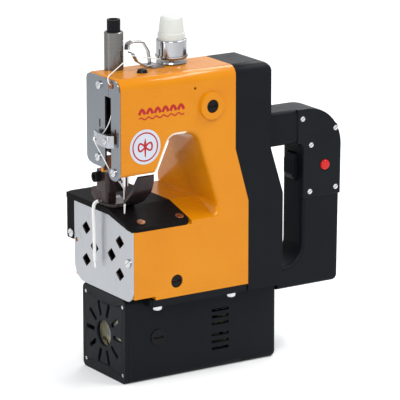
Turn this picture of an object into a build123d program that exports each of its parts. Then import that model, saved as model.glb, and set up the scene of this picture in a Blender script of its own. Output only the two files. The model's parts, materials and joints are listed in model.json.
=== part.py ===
from build123d import *
import os
from math import atan2, cos, radians, sin, tan

# Bag closer sewing machine, in mm. +X runs from the needle end to the handle, the operator's
# side is -Y, +Z is up, and the origin is the centre of the motor housing's flat underside.

os.makedirs("parts", exist_ok=True)

# ---- Driving dimensions ----
NEAR_Y = -46.0
FAR_Y = 46.0
HEAD_FAR_Y = 5.0
HEAD_FRONT_X = -84.0
HEAD_BOTTOM_Z = 177.5
HEAD_TOP_Z = 257.0
TOP_NEAR_R = 8.0
BED_FRONT_X = -72.5
BED_BOTTOM_Z = 75.0
BED_NEAR_Z = 134.0
BED_TOP_Z = 144.0
BED_SLOPE_Y = -12.0
CASTING_BOTTOM_Z = 72.0
CASTING_STEP_X = -52.0
CASTING_WALL = 4.0
CASTING_SIDE_WALL = 4.3
SEAM_TOP_X = 24.8
SEAM_BOTTOM_X = 37.5
SEAM_TOP_Z = 188.0
SEAM_BOTTOM_Z = 143.0
COVER_TOP_X = 59.5
COVER_BOTTOM_X = 71.6
COVER_SLOPE_TOP_Z = 184.0
COVER_SLOPE_BOTTOM_Z = 145.0
COVER_BOTTOM_Z = 66.0
PLATE_THICK = 3.0
PLATE_REAR_X = -17.5
FACE_THICK = 1.5

HOUSING_FRONT_X = -74.0
HOUSING_SEAM_X = 39.0
HOUSING_REAR_X = 74.0
HOUSING_HALF_Y = 33.85
HOUSING_TOP_Z = 72.0
FLANGE_BOTTOM_Z = 66.0
FLANGE_FRONT_X = -55.7
FLANGE_REAR_X = 37.0
HOUSING_WALL = 3.3
GRILLE_THICK = 3.0
GRILLE_SCREW_Y = 29.0
GRILLE_SCREW_Z = (7.0, 65.0)
MOTOR_Z = 36.0

NEEDLE_X = -65.5
SHAFT_Y = -20.5
PRESSER_X = -64.5
PRESSER_Y = -3.4
MAIN_SHAFT_Z = 232.0
LOWER_SHAFT_Z = 112.0
CRANK_RADIUS = 10.0
ROD_LENGTH = 14.0
SHAFT_R = 5.0
LOWER_SHAFT_R = 4.0
MOTOR_SHAFT_R = 4.0
NEEDLE_BAR_R = 3.2
PRESSER_BAR_R = 3.5
PULLEY_RATIO = 3.0
PULLEY_R = 16.0
PULLEY_X = 42.0
PULLEY_WIDTH = 10.0
BELT_THICK = 1.6
RUN = 0.05
GAP = 0.3

HANDLE_NEAR_Y = -35.5
HANDLE_FAR_Y = -5.5
GRIP_FRONT_X = 98.5
GRIP_REAR_X = 137.0
HANDLE_WALL = 3.5
COVER_SPLIT_X = 92.5
COVER_SPLIT_Z = 133.5
SWITCH_COVER_THICK = 3.0
SWITCH_COVER_Y = -36.5
SWITCH_SCREWS = [(97.8, 201.7), (131.0, 190.3), (106.5, 178.5), (131.5, 139.6), (105.5, 138.8)]
BUTTON_X = 120.2
BUTTON_Z = 160.0

TENSION_X = -12.5
TENSION_Y = -7.5

ROD_EYE_Z = MAIN_SHAFT_Z - CRANK_RADIUS - ROD_LENGTH
CRANK_PIN_Z = MAIN_SHAFT_Z - CRANK_RADIUS
MOTOR_PULLEY_R = PULLEY_R / PULLEY_RATIO


def y_plane(y):
    """Sketch plane at y, with local axes X and Z; a positive extrusion goes towards -Y."""
    return Plane.XZ.offset(-y)


def x_plane(x):
    """Sketch plane at x, with local axes Y and Z; a positive extrusion goes towards +X."""
    return Plane.YZ.offset(x)


def z_plane(z):
    """Sketch plane at z, with local axes X and Y; a positive extrusion goes up."""
    return Plane.XY.offset(z)


def block(low, high):
    """A plain box from its lowest to its highest corner, for cutting or adding."""
    size = [b - a for a, b in zip(low, high)]
    centre = [(a + b) / 2 for a, b in zip(low, high)]
    return Pos(*centre) * Box(*size, mode=Mode.PRIVATE)


# ---- Whole-machine outline, shared by the casting and its rear cover ----
THROAT_TOP_Z = 206.2


def side_outline(inset):
    """The C-shaped side view, shrunk by inset; the throat opens towards the front."""
    with BuildSketch(Plane.XZ, mode=Mode.PRIVATE) as outline:
        with BuildLine():
            FilletPolyline(
                (BED_FRONT_X, BED_BOTTOM_Z),
                (CASTING_STEP_X, BED_BOTTOM_Z),
                (CASTING_STEP_X, CASTING_BOTTOM_Z),
                (SEAM_BOTTOM_X, CASTING_BOTTOM_Z),
                (SEAM_BOTTOM_X, COVER_BOTTOM_Z),
                (COVER_BOTTOM_X, COVER_BOTTOM_Z),
                (COVER_BOTTOM_X, COVER_SLOPE_BOTTOM_Z),
                (COVER_TOP_X, COVER_SLOPE_TOP_Z),
                (COVER_TOP_X, HEAD_TOP_Z),
                (HEAD_FRONT_X, HEAD_TOP_Z),
                (HEAD_FRONT_X, HEAD_BOTTOM_Z),
                (-49.6, HEAD_BOTTOM_Z),
                (-36.8, THROAT_TOP_Z),
                (-11.6, THROAT_TOP_Z),
                (11.2, BED_NEAR_Z),
                (BED_FRONT_X, BED_NEAR_Z),
                radius=[1, 0.5, 0.5, 0.5, 0.5, 6, 8, 8, 8, 3, 0, 6, 9, 13, 9, 0],
                close=True,
            )
        make_face()
        if inset:
            offset(amount=-inset, kind=Kind.INTERSECTION)
    return outline.sketch


def end_outline(inset):
    """The end view: the wide bed and column step in to the narrow arm over a far shoulder."""
    with BuildSketch(Plane.YZ, mode=Mode.PRIVATE) as outline:
        with BuildLine():
            FilletPolyline(
                (NEAR_Y, COVER_BOTTOM_Z - 2),
                (FAR_Y, COVER_BOTTOM_Z - 2),
                (FAR_Y, 150),
                (HEAD_FAR_Y, 190),
                (HEAD_FAR_Y, HEAD_TOP_Z),
                (NEAR_Y, HEAD_TOP_Z),
                radius=[0.5, 0.5, 16, 18, 6, TOP_NEAR_R],
                close=True,
            )
        make_face()
        if inset:
            offset(amount=-inset, kind=Kind.INTERSECTION)
    return outline.sketch


# What is cut away to round the top's near edge
with BuildPart() as top_corner:
    with BuildSketch(x_plane(-101)):
        with Locations((NEAR_Y + TOP_NEAR_R / 2, HEAD_TOP_Z - TOP_NEAR_R / 2)):
            Rectangle(TOP_NEAR_R + 2, TOP_NEAR_R + 2)
        with Locations((NEAR_Y + TOP_NEAR_R, HEAD_TOP_Z - TOP_NEAR_R)):
            Circle(TOP_NEAR_R, mode=Mode.SUBTRACT)
    extrude(amount=202)

with BuildPart() as outer_form:
    extrude(side_outline(0), amount=FAR_Y, both=True)
    extrude(end_outline(0), amount=100, both=True, mode=Mode.INTERSECT)
    add(block((HEAD_FRONT_X - 2, HEAD_FAR_Y, 150), (-30, FAR_Y + 2, 200)), mode=Mode.SUBTRACT)
    near_edges = outer_form.faces().sort_by(Axis.Y)[0].edges()
    throat_edges = near_edges.filter_by_position(Axis.Z, BED_NEAR_Z - 1, THROAT_TOP_Z + 1)
    throat_edges = throat_edges.filter_by_position(Axis.X, HEAD_FRONT_X + 1, 14)
    fillet(throat_edges, 4.5)

with BuildPart() as inner_form:
    extrude(side_outline(CASTING_WALL), amount=FAR_Y, both=True)
    extrude(end_outline(CASTING_SIDE_WALL), amount=100, both=True, mode=Mode.INTERSECT)
    inner_head_low = (HEAD_FRONT_X - 2, HEAD_FAR_Y - CASTING_WALL, 150)
    add(block(inner_head_low, (-30, FAR_Y + 2, 200)), mode=Mode.SUBTRACT)

with BuildPart() as front_region:
    with BuildSketch(Plane.XZ):
        with BuildLine():
            Polyline(
                (-120, 60),
                (SEAM_BOTTOM_X, 60),
                (SEAM_BOTTOM_X, SEAM_BOTTOM_Z),
                (SEAM_TOP_X, SEAM_TOP_Z),
                (SEAM_TOP_X, 270),
                (-120, 270),
                close=True,
            )
        make_face()
    extrude(amount=80, both=True)

# Webs and bosses inside the casting, trimmed to its outer form
with BuildPart() as webs:
    add(block((-46, NEAR_Y, 207), (-36, HEAD_FAR_Y, 256)))
    add(block((8, NEAR_Y, 212), (16, HEAD_FAR_Y, 256)))
    add(block((-44, NEAR_Y, 73), (-34, FAR_Y, 130)))
    add(block((12, NEAR_Y, 73), (20, 12, 134)))
    add(block((-72, -27, 190), (-60.2, HEAD_FAR_Y, 203)))
    add(block((-74, -12, 243), (-56.4, HEAD_FAR_Y, 256)))
    add(block((-55.5, -30, 249), (-48, -22, 256)))
    add(block((BED_FRONT_X + 1, -42.5, 75.5), (8, 42.5, 81)))
    add(block((-52, 33, 117), (-34, 43, 131)))
    add(outer_form.part, mode=Mode.INTERSECT)

# Bed crown: the raised top of the bed, sloping down to the near side, under the needle plate
CROWN_SLOPE_DROP = BED_TOP_Z - BED_NEAR_Z


def crown_outline(drop):
    """End view of the bed's top, lowered by drop."""
    with BuildSketch(Plane.YZ, mode=Mode.PRIVATE) as outline:
        with BuildLine():
            Polyline(
                (NEAR_Y, BED_NEAR_Z - CASTING_WALL),
                (NEAR_Y, BED_NEAR_Z - drop),
                (BED_SLOPE_Y, BED_TOP_Z - drop),
                (FAR_Y, BED_TOP_Z - drop),
                (FAR_Y, BED_NEAR_Z - CASTING_WALL),
                close=True,
            )
        make_face()
    return outline.sketch


with BuildPart() as machine_body:
    add(outer_form.part)
    add(front_region.part, mode=Mode.INTERSECT)
    # the bed's top is cut back to leave room for the plate, then crowned
    add(block((-80, -50, BED_NEAR_Z - 4), (PLATE_REAR_X, 50, BED_TOP_Z + 4)), mode=Mode.SUBTRACT)
    add(inner_form.part, mode=Mode.SUBTRACT)
    add(webs.part)
    extrude(Pos(BED_FRONT_X, 0, 0) * crown_outline(PLATE_THICK), amount=PLATE_REAR_X - BED_FRONT_X)
    extrude(Pos(PLATE_REAR_X, 0, 0) * crown_outline(0), amount=10 - PLATE_REAR_X)
    # open rear, open bed front and open head underside
    add(block((20, -42, 76), (50, 42, 130)), mode=Mode.SUBTRACT)
    add(block((-80, -41, 81), (-62, 41, 129)), mode=Mode.SUBTRACT)
    add(block((-80, -38, HEAD_BOTTOM_Z - 2), (-56, -15, 190)), mode=Mode.SUBTRACT)
    add(block((-79.5, -15, HEAD_BOTTOM_Z - 2), (-55, 8, 190)), mode=Mode.SUBTRACT)
    add(block((-86, -15, HEAD_BOTTOM_Z - 2), (-79, 8, 184.5)), mode=Mode.SUBTRACT)
    # opening in the head's front wall, behind the face plates, with a thread passage above it
    add(block((-86, -35, 170), (-79, -17.5, 244)), mode=Mode.SUBTRACT)
    add(block((-86, -35, 240), (-81.5, -31.5, 254)), mode=Mode.SUBTRACT)
    # the toe of the lifted foot, and the connecting rod's end, clear the walls here
    add(block((-69, -44, HEAD_BOTTOM_Z - 2), (-48, -37, 186.5)), mode=Mode.SUBTRACT)
    add(block((-60.5, -14, 242), (-55.5, -10.3, 247)), mode=Mode.SUBTRACT)
    # boss with a plug hole on the near side, and the lower plug hole
    with BuildSketch(y_plane(NEAR_Y)):
        with Locations((1, 227)):
            Circle(11.5)
    extrude(amount=3, taper=12)
    with BuildSketch(y_plane(NEAR_Y - 3)):
        with Locations((1, 227), (-31.7, 84.9)):
            Circle(5.6)
    extrude(amount=-5.5, mode=Mode.SUBTRACT)
    with BuildSketch(y_plane(NEAR_Y - 1)):
        with Locations((-14, 243)):
            Circle(1.2)
    extrude(amount=-6, mode=Mode.SUBTRACT)
    # bores of the two shafts
    with BuildSketch(x_plane(-50)):
        with Locations((SHAFT_Y, MAIN_SHAFT_Z)):
            Circle(8)
    extrude(amount=72, mode=Mode.SUBTRACT)
    with BuildSketch(x_plane(-50)):
        with Locations((SHAFT_Y, LOWER_SHAFT_Z)):
            Circle(7)
    extrude(amount=72, mode=Mode.SUBTRACT)
    # bores of the needle bar's bush, the presser bar, its tube, the tension stud and the oil plug
    with BuildSketch(z_plane(185)):
        with Locations((NEEDLE_X, SHAFT_Y)):
            Circle(5.2)
    extrude(amount=20, mode=Mode.SUBTRACT)
    with BuildSketch(z_plane(185)):
        with Locations((PRESSER_X, PRESSER_Y)):
            Circle(PRESSER_BAR_R + RUN)
    extrude(amount=60, mode=Mode.SUBTRACT)
    with BuildSketch(z_plane(242)):
        with Locations((PRESSER_X, PRESSER_Y)):
            Circle(6)
    extrude(amount=20, mode=Mode.SUBTRACT)
    with BuildSketch(z_plane(249)):
        with Locations((TENSION_X, TENSION_Y)):
            Circle(2.5)
        with Locations((-51.8, -26.1)):
            Circle(3)
    extrude(amount=12, mode=Mode.SUBTRACT)
    # feed slot, needle hole and the feed guide's far bore
    add(block((-62, -16, 128), (-47, 26, 146)), mode=Mode.SUBTRACT)
    add(block((-69, -25, 128), (-60, -15, 146)), mode=Mode.SUBTRACT)
    with BuildSketch(y_plane(32)):
        with Locations((-50, 124)):
            Circle(3)
    extrude(amount=-9, mode=Mode.SUBTRACT)
    # tapped holes for the face plates, the flange and the needle plate
    with BuildSketch(x_plane(HEAD_FRONT_X - 1)):
        with Locations((-15.6, 249), (-13.5, 189.5), (-37.3, 181)):
            Circle(1.6)
    extrude(amount=6, mode=Mode.SUBTRACT)
    with BuildSketch(z_plane(CASTING_BOTTOM_Z - 1)):
        with Locations((-47.8, -39.5), (23.4, -39.5), (-47.8, 39.5), (23.4, 39.5)):
            Circle(2.5)
    extrude(amount=8, mode=Mode.SUBTRACT)
    add(top_corner.part, mode=Mode.SUBTRACT)
machine_body.part.label = "machine_body"
export_step(machine_body.part, "parts/machine_body.step")

with BuildPart() as rear_cover:
    add(outer_form.part)
    add(front_region.part, mode=Mode.SUBTRACT)
    add(inner_form.part, mode=Mode.SUBTRACT)
    # the belt runs down through the floor of the cover
    add(block((SEAM_BOTTOM_X, -32, 60), (56, 18, 75)), mode=Mode.SUBTRACT)
    add(top_corner.part, mode=Mode.SUBTRACT)
rear_cover.part.label = "rear_cover"
export_step(rear_cover.part, "parts/rear_cover.step")

# ---- Face plates on the needle end ----
FACE_X = HEAD_FRONT_X - FACE_THICK
STRIP_EDGE_Y = -29.5
SLOT_NEAR_Y = -33.3
SLOT_FAR_Y = -24.0

with BuildPart() as face_plate:
    with BuildSketch(x_plane(FACE_X)):
        with BuildLine():
            FilletPolyline(
                (HEAD_FAR_Y - 0.3, 184),
                (HEAD_FAR_Y - 0.3, 256),
                (STRIP_EDGE_Y, 256),
                (STRIP_EDGE_Y, 241.5),
                (SLOT_FAR_Y, 241.5),
                (SLOT_FAR_Y, 185),
                (-21, 182),
                (-6, 182),
                radius=[6, 5, 0.3, 0.5, 0.5, 2, 3, 6],
                close=True,
            )
        make_face()
        with Locations((-15.6, 249), (-13.5, 189.5)):
            Circle(1.7, mode=Mode.SUBTRACT)
        with Locations((-16, 218)):
            SlotOverall(7, 2, rotation=90, mode=Mode.SUBTRACT)
    extrude(amount=FACE_THICK)
face_plate.part.label = "face_plate"
export_step(face_plate.part, "parts/face_plate.step")

with BuildPart() as face_strip:
    with BuildSketch(x_plane(FACE_X)):
        with BuildLine():
            FilletPolyline(
                (STRIP_EDGE_Y - 0.3, 256),
                (-45.6, 256),
                (-45.6, 174.4),
                (-29, 174.4),
                (-29, 182),
                (SLOT_NEAR_Y, 184),
                (SLOT_NEAR_Y, 241.5),
                (STRIP_EDGE_Y - 0.3, 241.5),
                radius=[0.3, 8.5, 7, 6.5, 0.8, 0.8, 0.5, 0.5],
                close=True,
            )
        make_face()
        with Locations((-37.3, 181)):
            Circle(1.7, mode=Mode.SUBTRACT)
        with Locations((-40, 211)):
            Rectangle(2.4, 12, mode=Mode.SUBTRACT)
        with Locations((-33.6, 252)):
            Circle(2.2, mode=Mode.SUBTRACT)
    extrude(amount=FACE_THICK)
face_strip.part.label = "face_strip"
export_step(face_strip.part, "parts/face_strip.step")

with BuildPart() as thread_eyelet:
    with BuildSketch(x_plane(FACE_X - 0.8)):
        with Locations((-33.6, 252)):
            Circle(3.1)
            Circle(1.2, mode=Mode.SUBTRACT)
    extrude(amount=0.8)
    with BuildSketch(x_plane(FACE_X)):
        with Locations((-33.6, 252)):
            Circle(2.1)
            Circle(1.2, mode=Mode.SUBTRACT)
    extrude(amount=FACE_THICK)
thread_eyelet.part.label = "thread_eyelet"
export_step(thread_eyelet.part, "parts/thread_eyelet.step")


def pan_screw(plane, head_r, head_h, shank_r, shank_l):
    """A slotted pan-head screw whose head stands on the plane and whose shank goes below it."""
    with BuildPart(mode=Mode.PRIVATE) as screw:
        with BuildSketch(plane):
            Circle(head_r)
        extrude(amount=head_h)
        outward = screw.faces().sort_by(lambda f: (f.center() - plane.origin).dot(plane.z_dir))
        fillet(outward[-1].edges(), head_h * 0.45)
        with BuildSketch(plane):
            Circle(shank_r)
        extrude(amount=-shank_l)
        with BuildSketch(plane.offset(head_h * 0.45)):
            Rectangle(head_r * 2.4, head_r * 0.28, rotation=35)
        extrude(amount=head_h, mode=Mode.SUBTRACT)
    return screw.part


def socket_screw(plane, head_r, head_h, shank_r, shank_l):
    """A socket-head cap screw whose head stands on the plane and whose shank goes below it."""
    with BuildPart(mode=Mode.PRIVATE) as screw:
        with BuildSketch(plane):
            Circle(head_r)
        extrude(amount=head_h)
        with BuildSketch(plane):
            Circle(shank_r)
        extrude(amount=-shank_l)
        with BuildSketch(plane.offset(head_h)):
            RegularPolygon(head_r * 0.55, 6)
        extrude(amount=-head_h * 0.6, mode=Mode.SUBTRACT)
    return screw.part


def front_facing(x, y, z):
    """A plane at a point whose normal points towards -X, the needle end."""
    return Plane(origin=(x, y, z), x_dir=(0, -1, 0), z_dir=(-1, 0, 0))


def near_facing(x, y, z):
    """A plane at a point whose normal points towards -Y, the operator's side."""
    return Plane(origin=(x, y, z), x_dir=(1, 0, 0), z_dir=(0, -1, 0))


# ---- Looper cover, needle plate and its far bracket ----
COVER_FRONT_X = BED_FRONT_X - FACE_THICK
DIAMONDS = [(26.5, 119.6), (-26.5, 119.6), (26.5, 92.5), (-26.5, 92.5), (13.5, 106), (-13.5, 106)]

with BuildPart() as looper_cover:
    with BuildSketch(x_plane(COVER_FRONT_X)):
        with BuildLine():
            FilletPolyline(
                (NEAR_Y + 0.2, CASTING_BOTTOM_Z + 0.4),
                (FAR_Y - 0.2, CASTING_BOTTOM_Z + 0.4),
                (FAR_Y - 0.2, 140.9),
                (BED_SLOPE_Y - 0.6, 140.6),
                (NEAR_Y + 0.2, 130.9),
                radius=[8, 15, 1, 1, 1],
                close=True,
            )
        make_face()
        for y, z in DIAMONDS:
            with BuildSketch(mode=Mode.PRIVATE) as diamond:
                Polygon((6.8, 0), (0, 5.8), (-6.8, 0), (0, -5.8))
                fillet(diamond.vertices(), 1)
            add(Pos(y, z) * diamond.sketch, mode=Mode.SUBTRACT)
        with Locations((-40, 104.8), (42.3, 106)):
            Circle(1.9, mode=Mode.SUBTRACT)
    extrude(amount=FACE_THICK)
looper_cover.part.label = "looper_cover"
export_step(looper_cover.part, "parts/looper_cover.step")

FACE_SCREWS = [(-15.6, 249), (-13.5, 189.5), (-37.3, 181)]

with BuildPart() as cover_screws:
    for y, z in FACE_SCREWS:
        add(pan_screw(front_facing(FACE_X, y, z), 3.4, 1.8, 1.55, 4.5))
    add(pan_screw(front_facing(COVER_FRONT_X, -40, 104.8), 3.6, 1.6, 1.75, 1.4))
    add(pan_screw(front_facing(COVER_FRONT_X, 50.5, 110), 3.6, 1.6, 1.75, 3.2))
cover_screws.part.label = "cover_screws"
export_step(cover_screws.part, "parts/cover_screws.step")

PLATE_FRONT_X = -75.5
PLATE_FAR_Y = 58.0
NEEDLE_HOLE_R = 1.9

with BuildPart() as needle_plate:
    with BuildSketch(x_plane(PLATE_FRONT_X)):
        with BuildLine():
            Polyline(
                (NEAR_Y, BED_NEAR_Z),
                (BED_SLOPE_Y, BED_TOP_Z),
                (PLATE_FAR_Y, BED_TOP_Z),
                (PLATE_FAR_Y, BED_TOP_Z - PLATE_THICK),
                (BED_SLOPE_Y, BED_TOP_Z - PLATE_THICK),
                (NEAR_Y, BED_NEAR_Z - PLATE_THICK),
                close=True,
            )
        make_face()
    extrude(amount=PLATE_REAR_X - PLATE_FRONT_X)
    # front lip hanging over the looper cover
    with BuildSketch(x_plane(PLATE_FRONT_X)):
        with BuildLine():
            Polyline(
                (-34, 134.2),
                (-34, 136.6),
                (BED_SLOPE_Y, 143.2),
                (PLATE_FAR_Y, 143.2),
                (PLATE_FAR_Y, 139.2),
                (BED_SLOPE_Y, 139.2),
                close=True,
            )
        make_face()
    extrude(amount=1.4)
    # rounded rear and front near corners
    with BuildSketch(z_plane(125)):
        plate_centre = ((PLATE_FRONT_X + PLATE_REAR_X) / 2, (NEAR_Y + PLATE_FAR_Y) / 2)
        with Locations(plate_centre):
            RectangleRounded(PLATE_REAR_X - PLATE_FRONT_X, PLATE_FAR_Y - NEAR_Y, 7)
            with Locations((-20, 20)):
                Rectangle(30, 60)
    extrude(amount=25, mode=Mode.INTERSECT)
    # needle hole, feed slots and countersunk screw holes
    with BuildSketch(z_plane(125)):
        with Locations((NEEDLE_X, SHAFT_Y)):
            Circle(NEEDLE_HOLE_R)
        with Locations((-58.5, 3), (-52.5, 3)):
            SlotOverall(30, 3.4, rotation=90)
        with Locations((-60.5, -37.5), (-24, -37.5)):
            Circle(2.1)
    extrude(amount=25, mode=Mode.SUBTRACT)
needle_plate.part.label = "needle_plate"
export_step(needle_plate.part, "parts/needle_plate.step")

slope_angle = atan2(CROWN_SLOPE_DROP, BED_SLOPE_Y - NEAR_Y)
slope_normal = (0, -sin(slope_angle), cos(slope_angle))
SLOPE_SCREW_Y = -37.5
slope_screw_z = BED_NEAR_Z + (SLOPE_SCREW_Y - NEAR_Y) * tan(slope_angle)

with BuildPart() as needle_plate_bracket:
    with BuildSketch(x_plane(-74)):
        with Locations((52.2, 123)):
            RectangleRounded(11.2, 36, 1.5)
        with Locations((50.5, 110)):
            Circle(1.8, mode=Mode.SUBTRACT)
    extrude(amount=3.5)
    add(block((-74, FAR_Y + 0.1, 106), (-46, FAR_Y + 2.6, 140.9)))
needle_plate_bracket.part.label = "needle_plate_bracket"
export_step(needle_plate_bracket.part, "parts/needle_plate_bracket.step")

# ---- Plugs on the casting ----
with BuildPart() as access_plugs:
    for x, y, z in [(1, NEAR_Y - 3, 227), (-31.7, NEAR_Y, 84.9)]:
        depth = abs(y - NEAR_Y) + 1.4
        with BuildSketch(near_facing(x, y + depth, z)):
            Circle(5.5)
        extrude(amount=depth - 0.8)
        with BuildSketch(near_facing(x, y + 0.8, z)):
            Rectangle(8, 1.6)
        extrude(amount=-0.9, mode=Mode.SUBTRACT)
    with BuildSketch(z_plane(250)):
        with Locations((-51.8, -26.1)):
            Circle(2.9)
    extrude(amount=7)
    with BuildSketch(z_plane(HEAD_TOP_Z)):
        with Locations((-51.8, -26.1)):
            Circle(4.6)
    extrude(amount=2.5, taper=25)
access_plugs.part.label = "access_plugs"
export_step(access_plugs.part, "parts/access_plugs.step")

# ---- Motor housing, grille and rear cap ----
HOUSING_MID_Z = HOUSING_TOP_Z / 2
SHELL_FRONT_X = HOUSING_FRONT_X + GRILLE_THICK
CAVITY_HALF_Y = HOUSING_HALF_Y - HOUSING_WALL
CAVITY_LOW_Z = HOUSING_WALL
CAVITY_HIGH_Z = HOUSING_TOP_Z - HOUSING_WALL
CAVITY_MID_Z = (CAVITY_LOW_Z + CAVITY_HIGH_Z) / 2
FLANGE_SCREWS = [(-47.8, -40.5), (23.4, -40.5), (-47.8, 40.5), (23.4, 40.5)]
BRUSH_X = -42.5

with BuildPart() as motor_housing:
    with BuildSketch(x_plane(SHELL_FRONT_X)):
        with Locations((0, HOUSING_MID_Z)):
            RectangleRounded(2 * HOUSING_HALF_Y, HOUSING_TOP_Z, 5)
    extrude(amount=FLANGE_REAR_X - SHELL_FRONT_X)
    with BuildSketch(x_plane(FLANGE_REAR_X)):
        with Locations((0, FLANGE_BOTTOM_Z / 2)):
            RectangleRounded(2 * HOUSING_HALF_Y, FLANGE_BOTTOM_Z, 5)
    extrude(amount=HOUSING_SEAM_X - FLANGE_REAR_X)
    with BuildSketch(z_plane(FLANGE_BOTTOM_Z)):
        with Locations(((FLANGE_FRONT_X + FLANGE_REAR_X) / 2, 0)):
            RectangleRounded(FLANGE_REAR_X - FLANGE_FRONT_X, FAR_Y - NEAR_Y, 4)
    extrude(amount=HOUSING_TOP_Z - FLANGE_BOTTOM_Z)
    add(block((FLANGE_FRONT_X + 1, -46, 66), (FLANGE_REAR_X - 1, -40, 72)))
    # cavity, open at both ends
    with BuildSketch(x_plane(SHELL_FRONT_X)):
        with Locations((0, CAVITY_MID_Z)):
            RectangleRounded(2 * CAVITY_HALF_Y, CAVITY_HIGH_Z - CAVITY_LOW_Z, 3)
    extrude(amount=FLANGE_REAR_X - 3 - SHELL_FRONT_X, mode=Mode.SUBTRACT)
    with BuildSketch(x_plane(FLANGE_REAR_X - 4)):
        with Locations((0, FLANGE_BOTTOM_Z / 2)):
            RectangleRounded(2 * CAVITY_HALF_Y, FLANGE_BOTTOM_Z - 2 * HOUSING_WALL, 3)
    extrude(amount=8, mode=Mode.SUBTRACT)
    # corner posts for the grille screws
    with BuildSketch(x_plane(SHELL_FRONT_X)):
        for y in (-GRILLE_SCREW_Y, GRILLE_SCREW_Y):
            for z in GRILLE_SCREW_Z:
                with Locations((y, z)):
                    Circle(4)
                    Circle(1.6, mode=Mode.SUBTRACT)
    extrude(amount=10)
    # cooling louvres on both sides
    with BuildSketch(y_plane(-40)):
        for z in (50, 44.3, 38.5, 29, 22.9, 17):
            with Locations((18.15, z)):
                SlotOverall(17.3, 2.6)
    extrude(amount=-80, mode=Mode.SUBTRACT)
    # brush cap seats and flange screw holes
    with BuildSketch(y_plane(-40)):
        with Locations((BRUSH_X, MOTOR_Z)):
            Circle(7)
    extrude(amount=-80, mode=Mode.SUBTRACT)
    with BuildSketch(z_plane(FLANGE_BOTTOM_Z - 1)):
        for x, y in FLANGE_SCREWS:
            with Locations((x, y)):
                Circle(2.6)
    extrude(amount=8, mode=Mode.SUBTRACT)
motor_housing.part.label = "motor_housing"
export_step(motor_housing.part, "parts/motor_housing.step")

with BuildPart() as motor_grille:
    with BuildSketch(x_plane(HOUSING_FRONT_X)):
        with Locations((0, HOUSING_MID_Z)):
            RectangleRounded(2 * HOUSING_HALF_Y, HOUSING_TOP_Z, 5)
        with Locations((0, MOTOR_Z)):
            Circle(10.7, mode=Mode.SUBTRACT)
            with PolarLocations(21, 10):
                SlotOverall(13, 3.5, mode=Mode.SUBTRACT)
        for y in (-GRILLE_SCREW_Y, GRILLE_SCREW_Y):
            for z in GRILLE_SCREW_Z:
                with Locations((y, z)):
                    Circle(1.7, mode=Mode.SUBTRACT)
    extrude(amount=GRILLE_THICK)
    fillet(motor_grille.edges().filter_by(Plane.YZ).group_by(Axis.X)[0].sort_by(SortBy.LENGTH)[-4:], 0.8)
motor_grille.part.label = "motor_grille"
export_step(motor_grille.part, "parts/motor_grille.step")

with BuildPart() as motor_rear_cap:
    with BuildSketch(x_plane(HOUSING_SEAM_X)):
        with Locations((0, FLANGE_BOTTOM_Z / 2)):
            RectangleRounded(2 * HOUSING_HALF_Y, FLANGE_BOTTOM_Z, 5)
    extrude(amount=HOUSING_REAR_X - HOUSING_SEAM_X)
    fillet(motor_rear_cap.faces().sort_by(Axis.X)[-1].edges(), 4)
    with BuildSketch(x_plane(HOUSING_SEAM_X)):
        with Locations((0, FLANGE_BOTTOM_Z / 2)):
            RectangleRounded(2 * CAVITY_HALF_Y, FLANGE_BOTTOM_Z - 2 * HOUSING_WALL, 3)
    extrude(amount=HOUSING_REAR_X - HOUSING_WALL - HOUSING_SEAM_X, mode=Mode.SUBTRACT)
    add(block((HOUSING_SEAM_X - 1, -28, 60), (56, 16, 70)), mode=Mode.SUBTRACT)
motor_rear_cap.part.label = "motor_rear_cap"
export_step(motor_rear_cap.part, "parts/motor_rear_cap.step")

with BuildPart() as brush_caps:
    for side in (-1, 1):
        cap_centre = (BRUSH_X, side * CAVITY_HALF_Y, MOTOR_Z)
        cap_plane = Plane(origin=cap_centre, x_dir=(1, 0, 0), z_dir=(0, side, 0))
        with BuildSketch(cap_plane):
            Circle(6.9)
        extrude(amount=HOUSING_WALL + 0.8)
        with BuildSketch(cap_plane.offset(HOUSING_WALL + 0.8)):
            Rectangle(10, 1.8)
        extrude(amount=-1.2, mode=Mode.SUBTRACT)
brush_caps.part.label = "brush_caps"
export_step(brush_caps.part, "parts/brush_caps.step")

# ---- Motor internals ----
STATOR_X = (-26.0, 6.0)
ARMATURE_R = 20.0
BEARING_R = 9.0
BEARING_LENGTH = 6.0
END_SHIELD_X = -64.0
REAR_SHIELD_X = 30.0


def end_shield(x, thick):
    """A motor end plate with four windows round its bearing seat."""
    with BuildPart(mode=Mode.PRIVATE) as shield:
        with BuildSketch(x_plane(x)):
            with Locations((0, CAVITY_MID_Z)):
                RectangleRounded(2 * CAVITY_HALF_Y, CAVITY_HIGH_Z - CAVITY_LOW_Z, 3)
            with Locations((0, MOTOR_Z)):
                Circle(BEARING_R, mode=Mode.SUBTRACT)
                with PolarLocations(21, 4, start_angle=45):
                    Circle(6.5, mode=Mode.SUBTRACT)
        extrude(amount=thick)
    return shield.part


front_posts_clear = [
    block((END_SHIELD_X - 1, y - 4.2, z - 4.2), (SHELL_FRONT_X + 10.3, y + 4.2, z + 4.2))
    for y in (-GRILLE_SCREW_Y, GRILLE_SCREW_Y)
    for z in GRILLE_SCREW_Z
]

with BuildPart() as motor_shields:
    add(end_shield(END_SHIELD_X, BEARING_LENGTH))
    for post in front_posts_clear:
        add(post, mode=Mode.SUBTRACT)
    with BuildSketch(x_plane(REAR_SHIELD_X)):
        with Locations((0, MOTOR_Z)):
            Circle(CAVITY_HALF_Y - 0.05)
            Circle(BEARING_R, mode=Mode.SUBTRACT)
            with PolarLocations(20, 4, start_angle=45):
                Circle(5.5, mode=Mode.SUBTRACT)
    extrude(amount=3)
motor_shields.part.label = "motor_shields"
export_step(motor_shields.part, "parts/motor_shields.step")

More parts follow.
